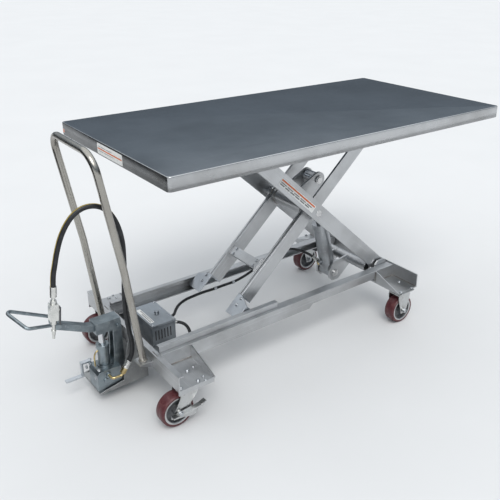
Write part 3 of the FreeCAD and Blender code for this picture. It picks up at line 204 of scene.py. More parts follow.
# ---------------------------------------------------------------- air hose
# Black rubber hose with a yellow line, about 1 m long, from the foot pump's brass elbow up the
# handle's right leg, over its bend and down to the hand valve that hangs on its end.
AIR_HOSE = 0.0175
AIR_ROUTE = [
    (-0.652, -0.104, 0.146), (-0.637, -0.108, 0.172), (-0.628, -0.114, 0.205), (-0.63, -0.122, 0.252),
    (-0.64, -0.131, 0.3), (-0.648, -0.137, 0.355), (-0.651, -0.14, 0.412), (-0.649, -0.141, 0.47),
    (-0.643, -0.141, 0.528), (-0.639, -0.14, 0.586), (-0.637, -0.139, 0.642), (-0.643, -0.138, 0.69),
    (-0.656, -0.137, 0.732), (-0.677, -0.136, 0.768), (-0.709, -0.134, 0.791), (-0.748, -0.131, 0.795),
    (-0.784, -0.128, 0.779), (-0.812, -0.126, 0.748), (-0.834, -0.123, 0.708), (-0.85, -0.121, 0.662),
    (-0.861, -0.119, 0.619), (-0.8705, -0.117, 0.583), (-0.874, -0.117, 0.549),
]


def cord_line(name, points, radius, material):
    """A smooth curve through its control points, swept round."""
    line = bpy.data.curves.new(name, "CURVE")
    line.dimensions = "3D"
    line.resolution_u = 10
    line.bevel_depth = radius
    line.bevel_resolution = 5
    spline = line.splines.new("NURBS")
    spline.points.add(len(points) - 1)
    for point, at in zip(spline.points, points):
        point.co = (*at, 1)
    spline.order_u = 3
    spline.use_endpoint_u = True
    line.materials.append(material)
    piece = bpy.data.objects.new(name, line)
    scene.collection.objects.link(piece)
    return piece


def rubber(name, stripe):
    """Wrapped hose rubber: dusty black, faintly ribbed along its length, with an optional stripe."""
    material, tree, shader = matter(name, (0.012, 0.013, 0.015), 0.5)
    place = on_object(tree)
    dust = ranged(tree, noise(tree, place, 38, 5), 0.45, 0.75)
    colour = blended(tree, dust, (0.006, 0.007, 0.009), (0.020, 0.022, 0.025))
    if stripe:
        along = tree.nodes.new("ShaderNodeTexCoord")
        split = tree.nodes.new("ShaderNodeSeparateXYZ")
        tree.links.new(along.outputs["UV"], split.inputs[0])
        band = tree.nodes.new("ShaderNodeMath")
        band.operation = "COMPARE"
        band.inputs[1].default_value, band.inputs[2].default_value = stripe
        tree.links.new(split.outputs["Y"], band.inputs[0])
        colour = blended(tree, band.outputs[0], colour, (0.42, 0.30, 0.035))
    tree.links.new(colour, shader.inputs["Base Color"])
    tree.links.new(ranged(tree, noise(tree, place, 60), 0.3, 0.7, 0.38, 0.6),
                   shader.inputs["Roughness"])
    embossed(tree, shader, noise(tree, place, 420, 2), 0.0003, 0.5)
    return material


hose_black = rubber("hose_black", None)
hose_striped = rubber("hose_striped", (0.69, 0.028))
air_hose = cord_line("air_hose_line", AIR_ROUTE, AIR_HOSE / 2, hose_striped)
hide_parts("air_hose")
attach(air_hose, "root")

# ---------------------------------------------------------------- hydraulic hoses
# Two black rubber hoses leave the power unit. The long one runs inside the left rail and crosses
# the fold to the cylinder's foot, where its crimp is carried by the outer legs; the short one goes to
# the pump.
OIL_HOSE = 0.012
LONG_ROUTE = [
    (-0.429, 0.03, 0.19), (-0.405, 0.031, 0.189), (-0.38, 0.042, 0.184), (-0.356, 0.064, 0.176),
    (-0.332, 0.096, 0.172), (-0.302, 0.124, 0.172), (-0.262, 0.142, 0.173), (-0.216, 0.15, 0.172),
    (-0.168, 0.151, 0.174), (-0.118, 0.149, 0.173), (-0.062, 0.15, 0.174), (-0.01, 0.149, 0.174),
    (0.038, 0.151, 0.18), (0.082, 0.15, 0.193), (0.122, 0.148, 0.212), (0.158, 0.145, 0.234),
    (0.195, 0.14, 0.2525), (0.233, 0.13, 0.268), (0.27, 0.114, 0.273), (0.305, 0.092, 0.268),
    (0.335, 0.067, 0.256), (0.355, 0.041, 0.242), (0.361, 0.015, 0.231),
]
SHORT_ROUTE = [
    (-0.429, -0.048, 0.213), (-0.413, -0.048, 0.213), (-0.3982, -0.0535, 0.2104),
    (-0.3869, -0.0636, 0.2054), (-0.3808, -0.077, 0.199), (-0.381, -0.095, 0.19),
    (-0.387, -0.114, 0.177), (-0.399, -0.13, 0.161), (-0.417, -0.14, 0.145), (-0.44, -0.143, 0.132),
    (-0.466, -0.136, 0.122), (-0.492, -0.117, 0.113), (-0.517, -0.091, 0.107), (-0.544, -0.062, 0.102),
    (-0.576, -0.037, 0.099), (-0.611, -0.023, 0.097), (-0.646, -0.02, 0.096),
]


def hose_mesh(name, points, radius, material):
    """A hose line made a mesh, closed at its ends."""
    line = cord_line(name + "_line", points, radius, material)
    line.data.use_fill_caps = True
    data = bpy.data.meshes.new_from_object(line.evaluated_get(bpy.context.evaluated_depsgraph_get()))
    bpy.data.objects.remove(line)
    for face in data.polygons:
        face.use_smooth = True
    piece = bpy.data.objects.new(name, data)
    scene.collection.objects.link(piece)
    return piece


long_hose = hose_mesh("long_oil_hose", LONG_ROUTE, OIL_HOSE / 2, hose_black)
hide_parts("oil_hoses", "leg_hose")
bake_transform(long_hose)
short_hose = hose_mesh("short_oil_hose", SHORT_ROUTE, OIL_HOSE / 2, hose_black)
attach(short_hose, "root")


def brushed(name, tones, rough, grain, turn=(0, 0, 0), stain=5.0, depth=0.00006):
    """Metal drawn under an abrasive belt: clean, stained and scratched tones, lines along one way."""
    material, tree, shader = matter(name, tones[0], rough[0], 1.0)
    drawn = on_object(tree, turn, grain)
    plain = on_object(tree)
    lines = noise(tree, drawn, 1, 7, 0.62)
    stains = noise(tree, plain, stain, 6, 0.6)
    rubs = noise(tree, plain, 38, 4, 0.5)
    tone = blended(tree, ranged(tree, stains, 0.42, 0.66), tones[0], tones[1])
    tone = blended(tree, ranged(tree, lines, 0.56, 0.80, 0, 0.75), tone, tones[2])
    tree.links.new(tone, shader.inputs["Base Color"])
    matt = tree.nodes.new("ShaderNodeMath")
    matt.operation = "MULTIPLY_ADD"
    matt.inputs[1].default_value = 0.5
    tree.links.new(rubs, matt.inputs[0])
    tree.links.new(ranged(tree, lines, 0.3, 0.7, 0, 0.5), matt.inputs[2])
    tree.links.new(ranged(tree, matt.outputs[0], 0.25, 0.75, *rough), shader.inputs["Roughness"])
    embossed(tree, shader, lines, depth)
    return material


CREASE = 32


def break_edges(piece, width, segments, above):
    """A small bevel along every edge that turns by more than an angle."""
    edge = piece.modifiers.new("broken_edge", "BEVEL")
    edge.width = width
    edge.segments = segments
    edge.limit_method = "ANGLE"
    edge.angle_limit = math.radians(above)


def eased(node, body, material, width=0.0012):
    """A copy of a CAD piece with its sharp edges broken and its curved faces smooth."""
    mesh = bmesh.new()
    mesh.from_mesh(nodes[node].data)
    bmesh.ops.remove_doubles(mesh, verts=mesh.verts, dist=0.00001)
    bmesh.ops.dissolve_limit(mesh, angle_limit=math.radians(0.5), verts=mesh.verts, edges=mesh.edges)
    for face in mesh.faces:
        face.material_index = 0
    piece = finished(node + "_eased", mesh, material)
    piece.data.set_sharp_from_angle(angle=math.radians(CREASE))
    break_edges(piece, width, 2, CREASE)
    weigh = piece.modifiers.new("weighted_normals", "WEIGHTED_NORMAL")
    weigh.keep_sharp = True
    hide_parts(node)
    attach(piece, body)
    return piece


STEEL = ((0.54, 0.55, 0.56), (0.42, 0.425, 0.43), (0.74, 0.75, 0.77))
steel_along = brushed("steel_along", STEEL, (0.30, 0.46), (3, 160, 160))
steel_across = brushed("steel_across", STEEL, (0.30, 0.46), (160, 3, 160))
for side in ("left", "right"):
    eased("rail_" + side, "root", steel_along)
eased("roller_guards", "root", steel_along)
eased("front_channel", "root", steel_across)
eased("rear_channel", "root", steel_across)
eased("base_pivots", "root", steel_along)

# ---------------------------------------------------------------- base welds
# Hand laid stainless beads where the rails meet the channels and round the gussets, rippled and
# a little darker than the plate.
weld_grey = brushed("weld_grey", ((0.36, 0.35, 0.33), (0.22, 0.20, 0.19), (0.52, 0.50, 0.48)),
                    (0.32, 0.5), (60, 60, 60), stain=30)


WELD_PITCH = 0.75


def lay_drop(mesh, at, size, ripple):
    """One drop of weld metal, a tenth larger or smaller than its size."""
    drop = bmesh.ops.create_icosphere(mesh, subdivisions=1, radius=size * (1 + 0.1 * math.sin(ripple)))
    bmesh.ops.translate(mesh, vec=at, verts=drop["verts"])


def lay_bead(mesh, start, end, size):
    """Overlapping drops from start to end."""
    start, end = Vector(start), Vector(end)
    drops = max(2, round((end - start).length / (size * WELD_PITCH)))
    for index in range(drops + 1):
        lay_drop(mesh, start.lerp(end, index / drops), size, 7 * index)


def lay_ring(mesh, centre, radius, size, axis=(0, 0, 1)):
    """Overlapping drops round a tube."""
    turn = Vector((0, 0, 1)).rotation_difference(Vector(axis)).to_matrix()
    drops = round(radius * math.radians(360) / (size * WELD_PITCH))
    for index in range(drops):
        angle = math.radians(360 * index / drops)
        spoke = Vector((math.cos(angle) * radius, math.sin(angle) * radius, 0))
        lay_drop(mesh, Vector(centre) + turn @ spoke, size, 5 * index)


mesh = bmesh.new()
for y in (1, -1):
    lay_bead(mesh, (-0.5665, y * 0.2225, 0.1665), (-0.452, y * 0.2225, 0.1665), 0.0024)
    lay_bead(mesh, (-0.4445, y * 0.2225, 0.170), (-0.4445, y * 0.2225, 0.212), 0.0022)
    lay_bead(mesh, (-0.583, y * 0.185, 0.2205), (-0.583, y * 0.219, 0.2205), 0.0022)
    lay_bead(mesh, (0.516, y * 0.2225, 0.1665), (0.622, y * 0.2225, 0.1665), 0.0024)
    lay_bead(mesh, (0.508, y * 0.2230, 0.170), (0.508, y * 0.2230, 0.212), 0.0022)
    lay_bead(mesh, (0.6245, y * 0.226, 0.166), (0.6245, y * 0.356, 0.166), 0.0024)
    lay_bead(mesh, (-0.5845, y * 0.226, 0.1665), (-0.5845, y * 0.368, 0.1665), 0.0024)
    lay_bead(mesh, (-0.590, y * 0.143, 0.1835), (-0.590, y * 0.195, 0.1835), 0.0022)
base_welds = finished("base_welds", mesh, weld_grey)
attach(base_welds, "root")

# ---------------------------------------------------------------- caster bolts
# Each caster plate hangs under its pan on four zinc plated bolts with washers, heads on top.
zinc = brushed("zinc", ((0.52, 0.54, 0.56), (0.42, 0.44, 0.46), (0.66, 0.68, 0.70)), (0.26, 0.42),
               (30, 30, 30), stain=18)


def add_bolt(mesh, at, axis, across):
    """A hexagon head on its washer, standing out along axis."""
    turn = Vector((0, 0, 1)).rotation_difference(Vector(axis)).to_matrix().to_4x4()
    place = Matrix.Translation(at) @ turn
    for radius, low, high, sides in ((across * 0.72, 0, across * 0.12, 24),
                                     (across * 0.577, across * 0.10, across * 0.52, 6)):
        middle = Matrix.Translation((0, 0, (low + high) / 2))
        bmesh.ops.create_cone(mesh, cap_ends=True, segments=sides, radius1=radius, radius2=radius,
                              depth=high - low, matrix=place @ middle)


def bolted(name, mesh, body):
    """Zinc plated bolts with their corners broken."""
    piece = finished(name, mesh, zinc, smooth=False)
    break_edges(piece, 0.0005, 1, 40)
    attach(piece, body)


TRACK = 0.3234
PAN_TOP = 0.165
mesh = bmesh.new()
for x in (-0.540, 0.562):
    for y in (TRACK, -TRACK):
        for dx, dy in ((-0.034, -0.036), (-0.034, 0.036), (0.034, -0.036), (0.034, 0.036)):
            add_bolt(mesh, (x + dx, y + dy, PAN_TOP), (0, 0, 1), 0.011)
bolted("caster_bolts", mesh, "root")

# ---------------------------------------------------------------- casters
# Pressed zinc plated forks and plates, a cast hub with a ball bearing, and a maroon moulded
# polyurethane tread with rounded shoulders and a fine parting line. The front casters swivel, and
# each has a brake lever on its axle bolt.
plated = brushed("plated", ((0.60, 0.61, 0.61), (0.50, 0.50, 0.49), (0.74, 0.75, 0.76)), (0.24, 0.40),
                 (40, 40, 40), stain=14)
for side in ("left", "right"):
    eased("front_fork_" + side, "front_fork_" + side, plated, 0.0008)
    eased("wheel_brake_" + side, "wheel_brake_" + side, plated, 0.0007)
eased("rear_forks", "root", plated, 0.0008)
eased("caster_plates", "root", plated, 0.0008)

tread_red, tree, shader = matter("tread_red", (0.085, 0.018, 0.022), 0.34)
place = on_object(tree)
scuff = ranged(tree, noise(tree, place, 55, 6, 0.65), 0.5, 0.72)
tree.links.new(blended(tree, scuff, (0.080, 0.016, 0.020), (0.150, 0.055, 0.056)),
               shader.inputs["Base Color"])
tree.links.new(ranged(tree, noise(tree, place, 25), 0.3, 0.7, 0.26, 0.50), shader.inputs["Roughness"])
embossed(tree, shader, noise(tree, place, 300, 3), 0.0002, 0.6)

hub_grey, tree, shader = matter("hub_grey", (0.10, 0.105, 0.115), 0.45, 0.35)
place = on_object(tree)
tree.links.new(blended(tree, ranged(tree, noise(tree, place, 45, 5), 0.4, 0.7), (0.085, 0.09, 0.10),
                       (0.20, 0.20, 0.20)), shader.inputs["Base Color"])
tree.links.new(ranged(tree, noise(tree, place, 70), 0.3, 0.7, 0.36, 0.55), shader.inputs["Roughness"])
embossed(tree, shader, noise(tree, place, 260, 3), 0.0003, 0.6)


def put_in(mesh, part):
    """Adds a finished part to the mesh of its piece."""
    spare = bpy.data.meshes.new("spare")
    part.to_mesh(spare)
    part.free()
    mesh.from_mesh(spare)
    bpy.data.meshes.remove(spare)


def lathe(mesh, profile, at, axis, steps):
    """Spins a closed run of (radius, height) corners round an axis."""
    part = bmesh.new()
    ring = [part.verts.new((radius, 0, height)) for radius, height in profile]
    edges = [part.edges.new(pair) for pair in zip(ring, ring[1:] + ring[:1])]
    bmesh.ops.spin(part, geom=ring + edges, cent=(0, 0, 0), axis=(0, 0, 1), angle=math.tau,
                   steps=steps, use_merge=True)
    bmesh.ops.remove_doubles(part, verts=part.verts, dist=0.000005)
    bmesh.ops.recalc_face_normals(part, faces=part.faces)
    turn = Vector((0, 0, 1)).rotation_difference(Vector(axis)).to_matrix().to_4x4()
    bmesh.ops.transform(part, matrix=Matrix.Translation(at) @ turn, verts=part.verts)
    put_in(mesh, part)


def lathed(name, mesh, body, material):
    """An object of turned parts, smooth round their curves and crisp at their corners."""
    piece = finished(name, mesh, material)
    piece.data.set_sharp_from_angle(angle=math.radians(CREASE))
    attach(piece, body)
    return piece


WHEEL = 0.0635
TREAD = [
    (0.0525, -0.0235), (0.0545, -0.0250), (0.0590, -0.0246), (0.0614, -0.0225), (0.0628, -0.0190),
    (0.0634, -0.0120), (0.0635, -0.0008), (0.0633, 0.0000), (0.0635, 0.0008), (0.0634, 0.0120),
    (0.0628, 0.0190), (0.0614, 0.0225), (0.0590, 0.0246), (0.0545, 0.0250), (0.0525, 0.0235),
]
RIM_RING = [(0.0455, 0.0215), (0.0525, 0.0215), (0.0525, 0.0242), (0.0505, 0.0248), (0.0475, 0.0242),
            (0.0455, 0.0225)]
BEARING = [(0.0066, 0.0262), (0.0066, 0.0278), (0.0120, 0.0280), (0.0128, 0.0270), (0.0150, 0.0268),
           (0.0160, 0.0250), (0.0160, 0.0240)]
NUT_SEAT, BRAKE_NUT_SEAT = 0.0355, 0.0408
for end, along in (("front", -0.582), ("rear", 0.562)):
    for side, way in (("left", 1), ("right", -1)):
        body = f"{end}_wheel_{side}"
        at = (along, way * TRACK, WHEEL)
        mesh = bmesh.new()
        lathe(mesh, TREAD, at, (0, 1, 0), 64)
        tread = lathed(f"{end}_tread_{side}_moulded", mesh, body, tread_red)
        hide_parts(f"{end}_tread_{side}")
        eased(f"{end}_hub_{side}", body, hub_grey, 0.0012)
        mesh = bmesh.new()
        for face in (1, -1):
            lathe(mesh, RIM_RING, at, (0, face, 0), 56)
            lathe(mesh, BEARING, at, (0, face, 0), 32)
        lathed(f"{end}_rim_rings_{side}", mesh, body, plated)
        carrier = f"front_fork_{side}" if end == "front" else "root"
        mesh = bmesh.new()
        for face in (1, -1):
            proud = BRAKE_NUT_SEAT if end == "front" and face == way else NUT_SEAT
            add_bolt(mesh, (along, way * TRACK + face * proud, WHEEL), (0, face, 0), 0.016)
        bolted(f"{end}_axle_nuts_{side}", mesh, carrier)

# ---------------------------------------------------------------- push handle
# One bent stainless tube, polished, its tones tinted tan as a painted reflection of its
# surroundings, welded by its feet to two shelves on the channel.
# The tan tint in these tones is a painted reflection of the surroundings.
tube_steel_painted_tan = brushed("tube_steel_painted_tan", ((0.40, 0.385, 0.35), (0.32, 0.30, 0.27), (0.56, 0.55, 0.53)),
                     (0.20, 0.32), (90, 90, 5), stain=4)
eased("push_handle", "root", tube_steel_painted_tan, 0.0004)
mesh = bmesh.new()
for y in (0.169, -0.169):
    lay_ring(mesh, (-0.6152, y, 0.1915), 0.0138, 0.0026)
handle_welds = finished("handle_welds", mesh, weld_grey)
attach(handle_welds, "root")

# ---------------------------------------------------------------- scissor legs
# Flat bar legs in pairs, satin brushed along their length, with welded cross members, bent
# roller brackets of brighter plate, and pins with heads.
LIFT = math.radians(42.17)
steel_outer = brushed("steel_outer_leg", STEEL, (0.30, 0.46), (3, 160, 160),
                      turn=(0, -LIFT, 0), stain=4)
steel_inner = brushed("steel_inner_leg", STEEL, (0.30, 0.46), (3, 160, 160),
                      turn=(0, LIFT, 0), stain=4)
bright_plate = brushed("bright_plate", ((0.52, 0.55, 0.58), (0.40, 0.42, 0.45), (0.68, 0.70, 0.72)),
                       (0.28, 0.44), (40, 40, 40), stain=11)
pin_steel = brushed("pin_steel", ((0.62, 0.62, 0.62), (0.50, 0.50, 0.50), (0.72, 0.72, 0.72)),
                    (0.16, 0.30), (60, 60, 60), stain=25)
for side in ("left", "right"):
    eased("outer_leg_" + side, "outer_legs", steel_outer)
    eased("inner_leg_" + side, "inner_legs", steel_inner)
    eased("base_roller_" + side, "base_roller_" + side, pin_steel, 0.0010)
    eased("deck_roller_" + side, "deck_roller_" + side, pin_steel, 0.0010)
eased("leg_doublers", "inner_legs", steel_inner)
eased("roller_brackets", "inner_legs", bright_plate)
eased("cross_brace", "inner_legs", steel_across)
eased("torque_tube", "inner_legs", steel_across)
eased("lower_cross_tube", "outer_legs", steel_across)
eased("rod_ears", "inner_legs", steel_inner)
for node, body in (("centre_pins", "inner_legs"), ("foot_pin", "outer_legs"),
                   ("deck_roller_axles", "outer_legs"), ("rod_pin_ends", "inner_legs")):
    eased(node, body, pin_steel, 0.0008)

# ---------------------------------------------------------------- hydraulic cylinder
# A ground steel barrel with a welded foot eye and a screwed gland, and a chromed rod.
barrel_steel = brushed("barrel_steel", ((0.40, 0.42, 0.44), (0.29, 0.30, 0.31), (0.56, 0.58, 0.60)),
                       (0.28, 0.42), (70, 70, 70), stain=9)
chrome = brushed("chrome", ((0.72, 0.73, 0.75), (0.64, 0.65, 0.67), (0.80, 0.80, 0.80)), (0.07, 0.16),
                 (60, 60, 60), stain=12, depth=0.00001)
eased("ram_barrel", "ram_barrel", barrel_steel, 0.0014)
eased("ram_rod", "ram_rod", chrome, 0.0010)

# ---------------------------------------------------------------- deck
# One stainless sheet with its four lips folded down over a 4 mm radius and its corners welded
# and dressed round. The top is finely brushed along its length; its tones are painted dark, a
# painted reflection of dark surroundings, and its broad mottling is partly handling smears and
# partly painted reflection streaks. The lips are a brighter satin in the plain steel tones, and
# the lip at the handle end is painted darker still, as a painted dark reflection.
# The top's dark tones and the end lip's darker tones are painted dark reflections, not the steel's own
# colour.
deck_top_painted_dark_reflection = brushed("deck_top_painted_dark_reflection", ((0.20, 0.225, 0.25), (0.115, 0.135, 0.155), (0.27, 0.295, 0.32)),
                     (0.16, 0.26), (1.6, 420, 420), stain=2.4, depth=0.00001)
lip_steel = brushed("lip_steel", STEEL, (0.24, 0.38), (2.2, 160, 160), stain=4)
end_lip_painted_dark_reflection = brushed("end_lip_painted_dark_reflection", ((0.16, 0.165, 0.17), (0.11, 0.115, 0.12), (0.25, 0.25, 0.25)),
                    (0.24, 0.36), (160, 2.2, 160), stain=5)
DECK = Vector((1.600, 0.813, 0.048))
CORNER, FOLD, GAUGE = 0.014, 0.004, 0.003


def block(size):
    """A block of a given size, centred on the origin."""
    mesh = bmesh.new()
    bmesh.ops.create_cube(mesh, size=1)
    bmesh.ops.scale(mesh, vec=size, verts=mesh.verts)
    return mesh


def standing(mesh):
    """The edges that run up a block."""
    return [edge for edge in mesh.edges if abs(edge.verts[0].co.z - edge.verts[1].co.z) > 0.0001]


mesh = block(DECK)
bmesh.ops.bevel(mesh, geom=standing(mesh), offset=CORNER, segments=6, profile=0.5,
                affect="EDGES", material=-1)
top_edges = [edge for edge in mesh.edges if all(vert.co.z > 0.02 for vert in edge.verts)]
bmesh.ops.bevel(mesh, geom=top_edges, offset=FOLD, segments=4, profile=0.5,
                affect="EDGES", material=-1)
bmesh.ops.delete(mesh, geom=[face for face in mesh.faces if face.normal.z < -0.9], context="FACES")
bmesh.ops.translate(mesh, vec=(0.2, 0, 0.912), verts=mesh.verts)
bmesh.ops.recalc_face_normals(mesh, faces=mesh.faces)
# Faces get their tones by the way they face: the top the painted dark reflection, the side lips the
# plain steel, the handle-end lip the darker painted reflection.
for face in mesh.faces:
    if face.normal.z < 0.9:
        face.material_index = 2 if face.normal.x < -0.8 else 1
deck_sheet = finished("deck_sheet", mesh, deck_top_painted_dark_reflection, lip_steel, end_lip_painted_dark_reflection)
deck_sheet.data.set_sharp_from_angle(angle=math.radians(50))
gauge = deck_sheet.modifiers.new("gauge", "SOLIDIFY")
gauge.thickness = GAUGE
gauge.offset = -1
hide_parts("deck_pan")
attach(deck_sheet, "deck")
eased("deck_underframe", "deck", steel_across)
eased("deck_hinges", "deck", steel_along)

# ---------------------------------------------------------------- foot pump
# Folded tray, cast valve block and cylinder with a blue grey zinc finish, and the folded lever
# with its bent foot bar.
tray_steel = brushed("tray_steel", ((0.38, 0.39, 0.39), (0.24, 0.24, 0.24), (0.54, 0.55, 0.56)),
                     (0.32, 0.48), (40, 40, 40), stain=9)
cast_zinc = brushed("cast_zinc", ((0.30, 0.345, 0.37), (0.20, 0.23, 0.25), (0.50, 0.54, 0.56)),
                    (0.30, 0.50), (55, 55, 55), stain=20, depth=0.0003)
bar_zinc = brushed("bar_zinc", ((0.55, 0.58, 0.61), (0.42, 0.45, 0.48), (0.70, 0.72, 0.74)),
                   (0.24, 0.38), (70, 8, 70), stain=16)
eased("pump_tray", "root", tray_steel)
eased("pump_block", "root", cast_zinc, 0.0025)
eased("pump_barrel", "root", cast_zinc, 0.0012)
eased("pump_fulcrum", "root", cast_zinc, 0.0016)
eased("pump_lever", "pump_lever", cast_zinc, 0.0010)
eased("pump_plunger", "pump_plunger", chrome, 0.0010)
eased("release_pedal", "release_pedal", bar_zinc, 0.0010)

# ---------------------------------------------------------------- power unit
# A folded steel box for the air driven oil pump, painted grey, with a screwed lid, a filler knob
# and slots in its near end.
box_paint, tree, shader = matter("box_paint", (0.10, 0.11, 0.12), 0.42, 0.4)
place = on_object(tree)
tree.links.new(blended(tree, ranged(tree, noise(tree, place, 16, 6), 0.4, 0.7), (0.11, 0.125, 0.14),
                       (0.20, 0.22, 0.24)), shader.inputs["Base Color"])
tree.links.new(ranged(tree, noise(tree, place, 50), 0.3, 0.7, 0.30, 0.50), shader.inputs["Roughness"])
embossed(tree, shader, noise(tree, place, 500, 2), 0.0001, 0.5)
lid_steel = brushed("lid_steel", ((0.34, 0.37, 0.40), (0.27, 0.29, 0.31), (0.46, 0.48, 0.50)),
                    (0.26, 0.42), (120, 4, 120), stain=8)
eased("power_unit_case", "root", box_paint)
eased("power_unit_lid", "root", lid_steel)

# ---------------------------------------------------------------- hand valve
# A nickel plated ball valve with its crimped ferrule, flat lever and male plug, hanging on the
# air hose, and the brass elbow at the hose's other end.
nickel = brushed("nickel", ((0.74, 0.74, 0.71), (0.64, 0.64, 0.62), (0.84, 0.84, 0.82)), (0.18, 0.32),
                 (80, 80, 80), stain=30)
brass = brushed("brass", ((0.62, 0.50, 0.26), (0.46, 0.35, 0.17), (0.76, 0.66, 0.42)), (0.22, 0.38),
                (80, 80, 80), stain=40)
dark_steel = brushed("dark_steel", ((0.16, 0.165, 0.17), (0.10, 0.10, 0.11), (0.28, 0.28, 0.28)),
                     (0.30, 0.46), (60, 60, 60), stain=25)
valve = eased("valve_body", "root", nickel, 0.0009)
lever = eased("valve_lever", "valve_lever", dark_steel, 0.0007)
eased("air_plug", "root", nickel, 0.0009)
eased("air_fitting", "root", brass, 0.0006)

# ---------------------------------------------------------------- hose ends
# Each rubber hose is gripped by a grooved, plated ferrule with a hexagon nut. A brass fitting
# takes the long one into the cylinder's foot, and a bent brass pipe rises from the pump block.
def crimp(mesh, start, toward, radius, length, nut):
    """A grooved ferrule round a hose's end, and the nut behind it."""
    axis = (Vector(toward) - Vector(start)).normalized()
    profile = [(radius * 0.97, 0), (radius * 1.26, 0)]
    for at in (0.25, 0.5, 0.75):
        profile += [(radius * 1.26, (at - 0.06) * length), (radius * 1.17, (at - 0.03) * length),
                    (radius * 1.17, (at + 0.03) * length), (radius * 1.26, (at + 0.06) * length)]
    profile += [(radius * 1.26, length * 0.95), (radius * 1.18, length), (radius * 0.97, length)]
    lathe(mesh, profile, start, axis, 28)
    turn = Vector((0, 0, 1)).rotation_difference(axis).to_matrix().to_4x4()
    bmesh.ops.create_cone(mesh, cap_ends=True, segments=6, radius1=radius * 1.5, radius2=radius * 1.5,
                          depth=nut, matrix=Matrix.Translation(Vector(start) - axis * nut / 2) @ turn)


mesh = bmesh.new()
crimp(mesh, AIR_ROUTE[0], AIR_ROUTE[1], AIR_HOSE / 2, 0.024, 0.006)
crimp(mesh, (-0.422, 0.030, 0.190), LONG_ROUTE[1], OIL_HOSE / 2, 0.016, 0.009)
crimp(mesh, (-0.422, -0.048, 0.213), (-0.40, -0.048, 0.213), OIL_HOSE / 2, 0.014, 0.009)
crimp(mesh, (-0.632, -0.0213, 0.0964), SHORT_ROUTE[-2], OIL_HOSE / 2, 0.018, 0.009)
lathed("hose_crimps", mesh, "root", nickel)
mesh = bmesh.new()
crimp(mesh, LONG_ROUTE[-1], LONG_ROUTE[-2], OIL_HOSE / 2, 0.018, 0.010)
lathed("leg_hose_crimp", mesh, "outer_legs", nickel)
mesh = bmesh.new()
crimp(mesh, (0.3655, 0.002, 0.2165), (0.361, 0.015, 0.231), 0.0052, 0.008, 0.008)
lathed("ram_port_fitting", mesh, "ram_barrel", brass)
PIPE = [
    (-0.737, -0.026, 0.136), (-0.737, -0.026, 0.152), (-0.738, -0.026, 0.172), (-0.734, -0.026, 0.190),
    (-0.720, -0.026, 0.199), (-0.706, -0.026, 0.201),
]
pipe = hose_mesh("pump_pipe", PIPE, 0.0030, brass)
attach(pipe, "root")

# ---------------------------------------------------------------- small fixings
# Hexagon bolts on the cross brace, the roller brackets and both pans of the handle channel, plugs
# at the pump block, screws in the power unit's lid, weld collars on the torque tube, two hose
# clips, and thin near-black plates on the end of the power unit whose black is painted shade
# standing for slots.
SLOPE = Vector((math.cos(LIFT), 0, math.sin(LIFT)))
SQUARE = Vector((-math.sin(LIFT), 0, math.cos(LIFT)))
ROLLER = Vector((-0.174, 0, 0.2127))
LEG_BOLTS = ((0.069, (0.184, 0.208), 0.032), (0.128, (0.016, 0.046), 0.031))
mesh = bmesh.new()
for out, reaches, above in LEG_BOLTS:
    for y in (out, -out):
        for reach in reaches:
            add_bolt(mesh, ROLLER + SLOPE * reach + SQUARE * above + Vector((0, y, 0)), SQUARE, 0.010)
bolted("leg_bolts", mesh, "inner_legs")
PUMP_FACE, PUMP_TOP, LID_TOP = -0.750, 0.138, 0.251
mesh = bmesh.new()
for way in (1, -1):
    for x, y in ((-0.478, 0.281), (-0.478, 0.348), (-0.482, 0.373)):
        add_bolt(mesh, (x, way * y, PAN_TOP), (0, 0, 1), 0.0075)
for y in (-0.062, 0.024):
    add_bolt(mesh, (PUMP_FACE, y, 0.112), (-1, 0, 0), 0.012)
    add_bolt(mesh, (-0.738, y, PUMP_TOP), (0, 0, 1), 0.010)
for x in (-0.5225, -0.4365):
    for y in (-0.074, 0.078):
        add_bolt(mesh, (x, y, LID_TOP), (0, 0, 1), 0.0065)
bolted("base_bolts", mesh, "root")
TUBE_X, TUBE_Z = 0.2035, 0.5546
mesh = bmesh.new()
for out, radius, bead in ((0.1095, 0.0358, 0.0040), (0.0885, 0.0356, 0.0034)):
    for y in (out, -out):
        lay_ring(mesh, (TUBE_X, y, TUBE_Z), radius, bead, axis=(0, 1, 0))
tube_welds = finished("torque_tube_welds", mesh, weld_grey)
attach(tube_welds, "inner_legs")
CLIP = [(0.0059, -0.006), (0.0074, -0.006), (0.0076, -0.0052), (0.0076, 0.0052), (0.0074, 0.006),
        (0.0059, 0.006)]
mesh = bmesh.new()
for x in (-0.105, -0.010):
    lathe(mesh, CLIP, (x, 0.1493, 0.1735), (1, 0, 0), 28)
lathed("hose_clips", mesh, "root", zinc)
# Near black: painted shade for the inside of the slots, laid on thin plates on the case.
vent_painted_shade, tree, shader = matter("vent_painted_shade", (0.012, 0.012, 0.013), 0.6)
place = on_object(tree)
tree.links.new(ranged(tree, noise(tree, place, 180), 0.3, 0.7, 0.5, 0.75), shader.inputs["Roughness"])
tree.links.new(blended(tree, noise(tree, place, 90), (0.010, 0.010, 0.011), (0.03, 0.03, 0.032)),
               shader.inputs["Base Color"])
embossed(tree, shader, noise(tree, place, 500, 2), 0.0001, 0.5)


def slab(mesh, low, high, round_off):
    """A bevelled block between two corners."""
    part = block(Vector(high) - Vector(low))
    bmesh.ops.translate(part, vec=(Vector(low) + Vector(high)) / 2, verts=part.verts)
    bmesh.ops.bevel(part, geom=part.edges[:], offset=round_off, segments=2, profile=0.5,
                    affect="EDGES", material=-1)
    put_in(mesh, part)


VENT_PITCH, VENT_WIDE = 0.0125, 0.0045
mesh = bmesh.new()
for index in range(6):
    x = -0.517 + VENT_PITCH * index
    slab(mesh, (x, -0.0806, 0.186), (x + VENT_WIDE, -0.0798, 0.226), 0.0002)
vents = finished("unit_vents", mesh, vent_painted_shade, smooth=False)
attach(vents, "root")

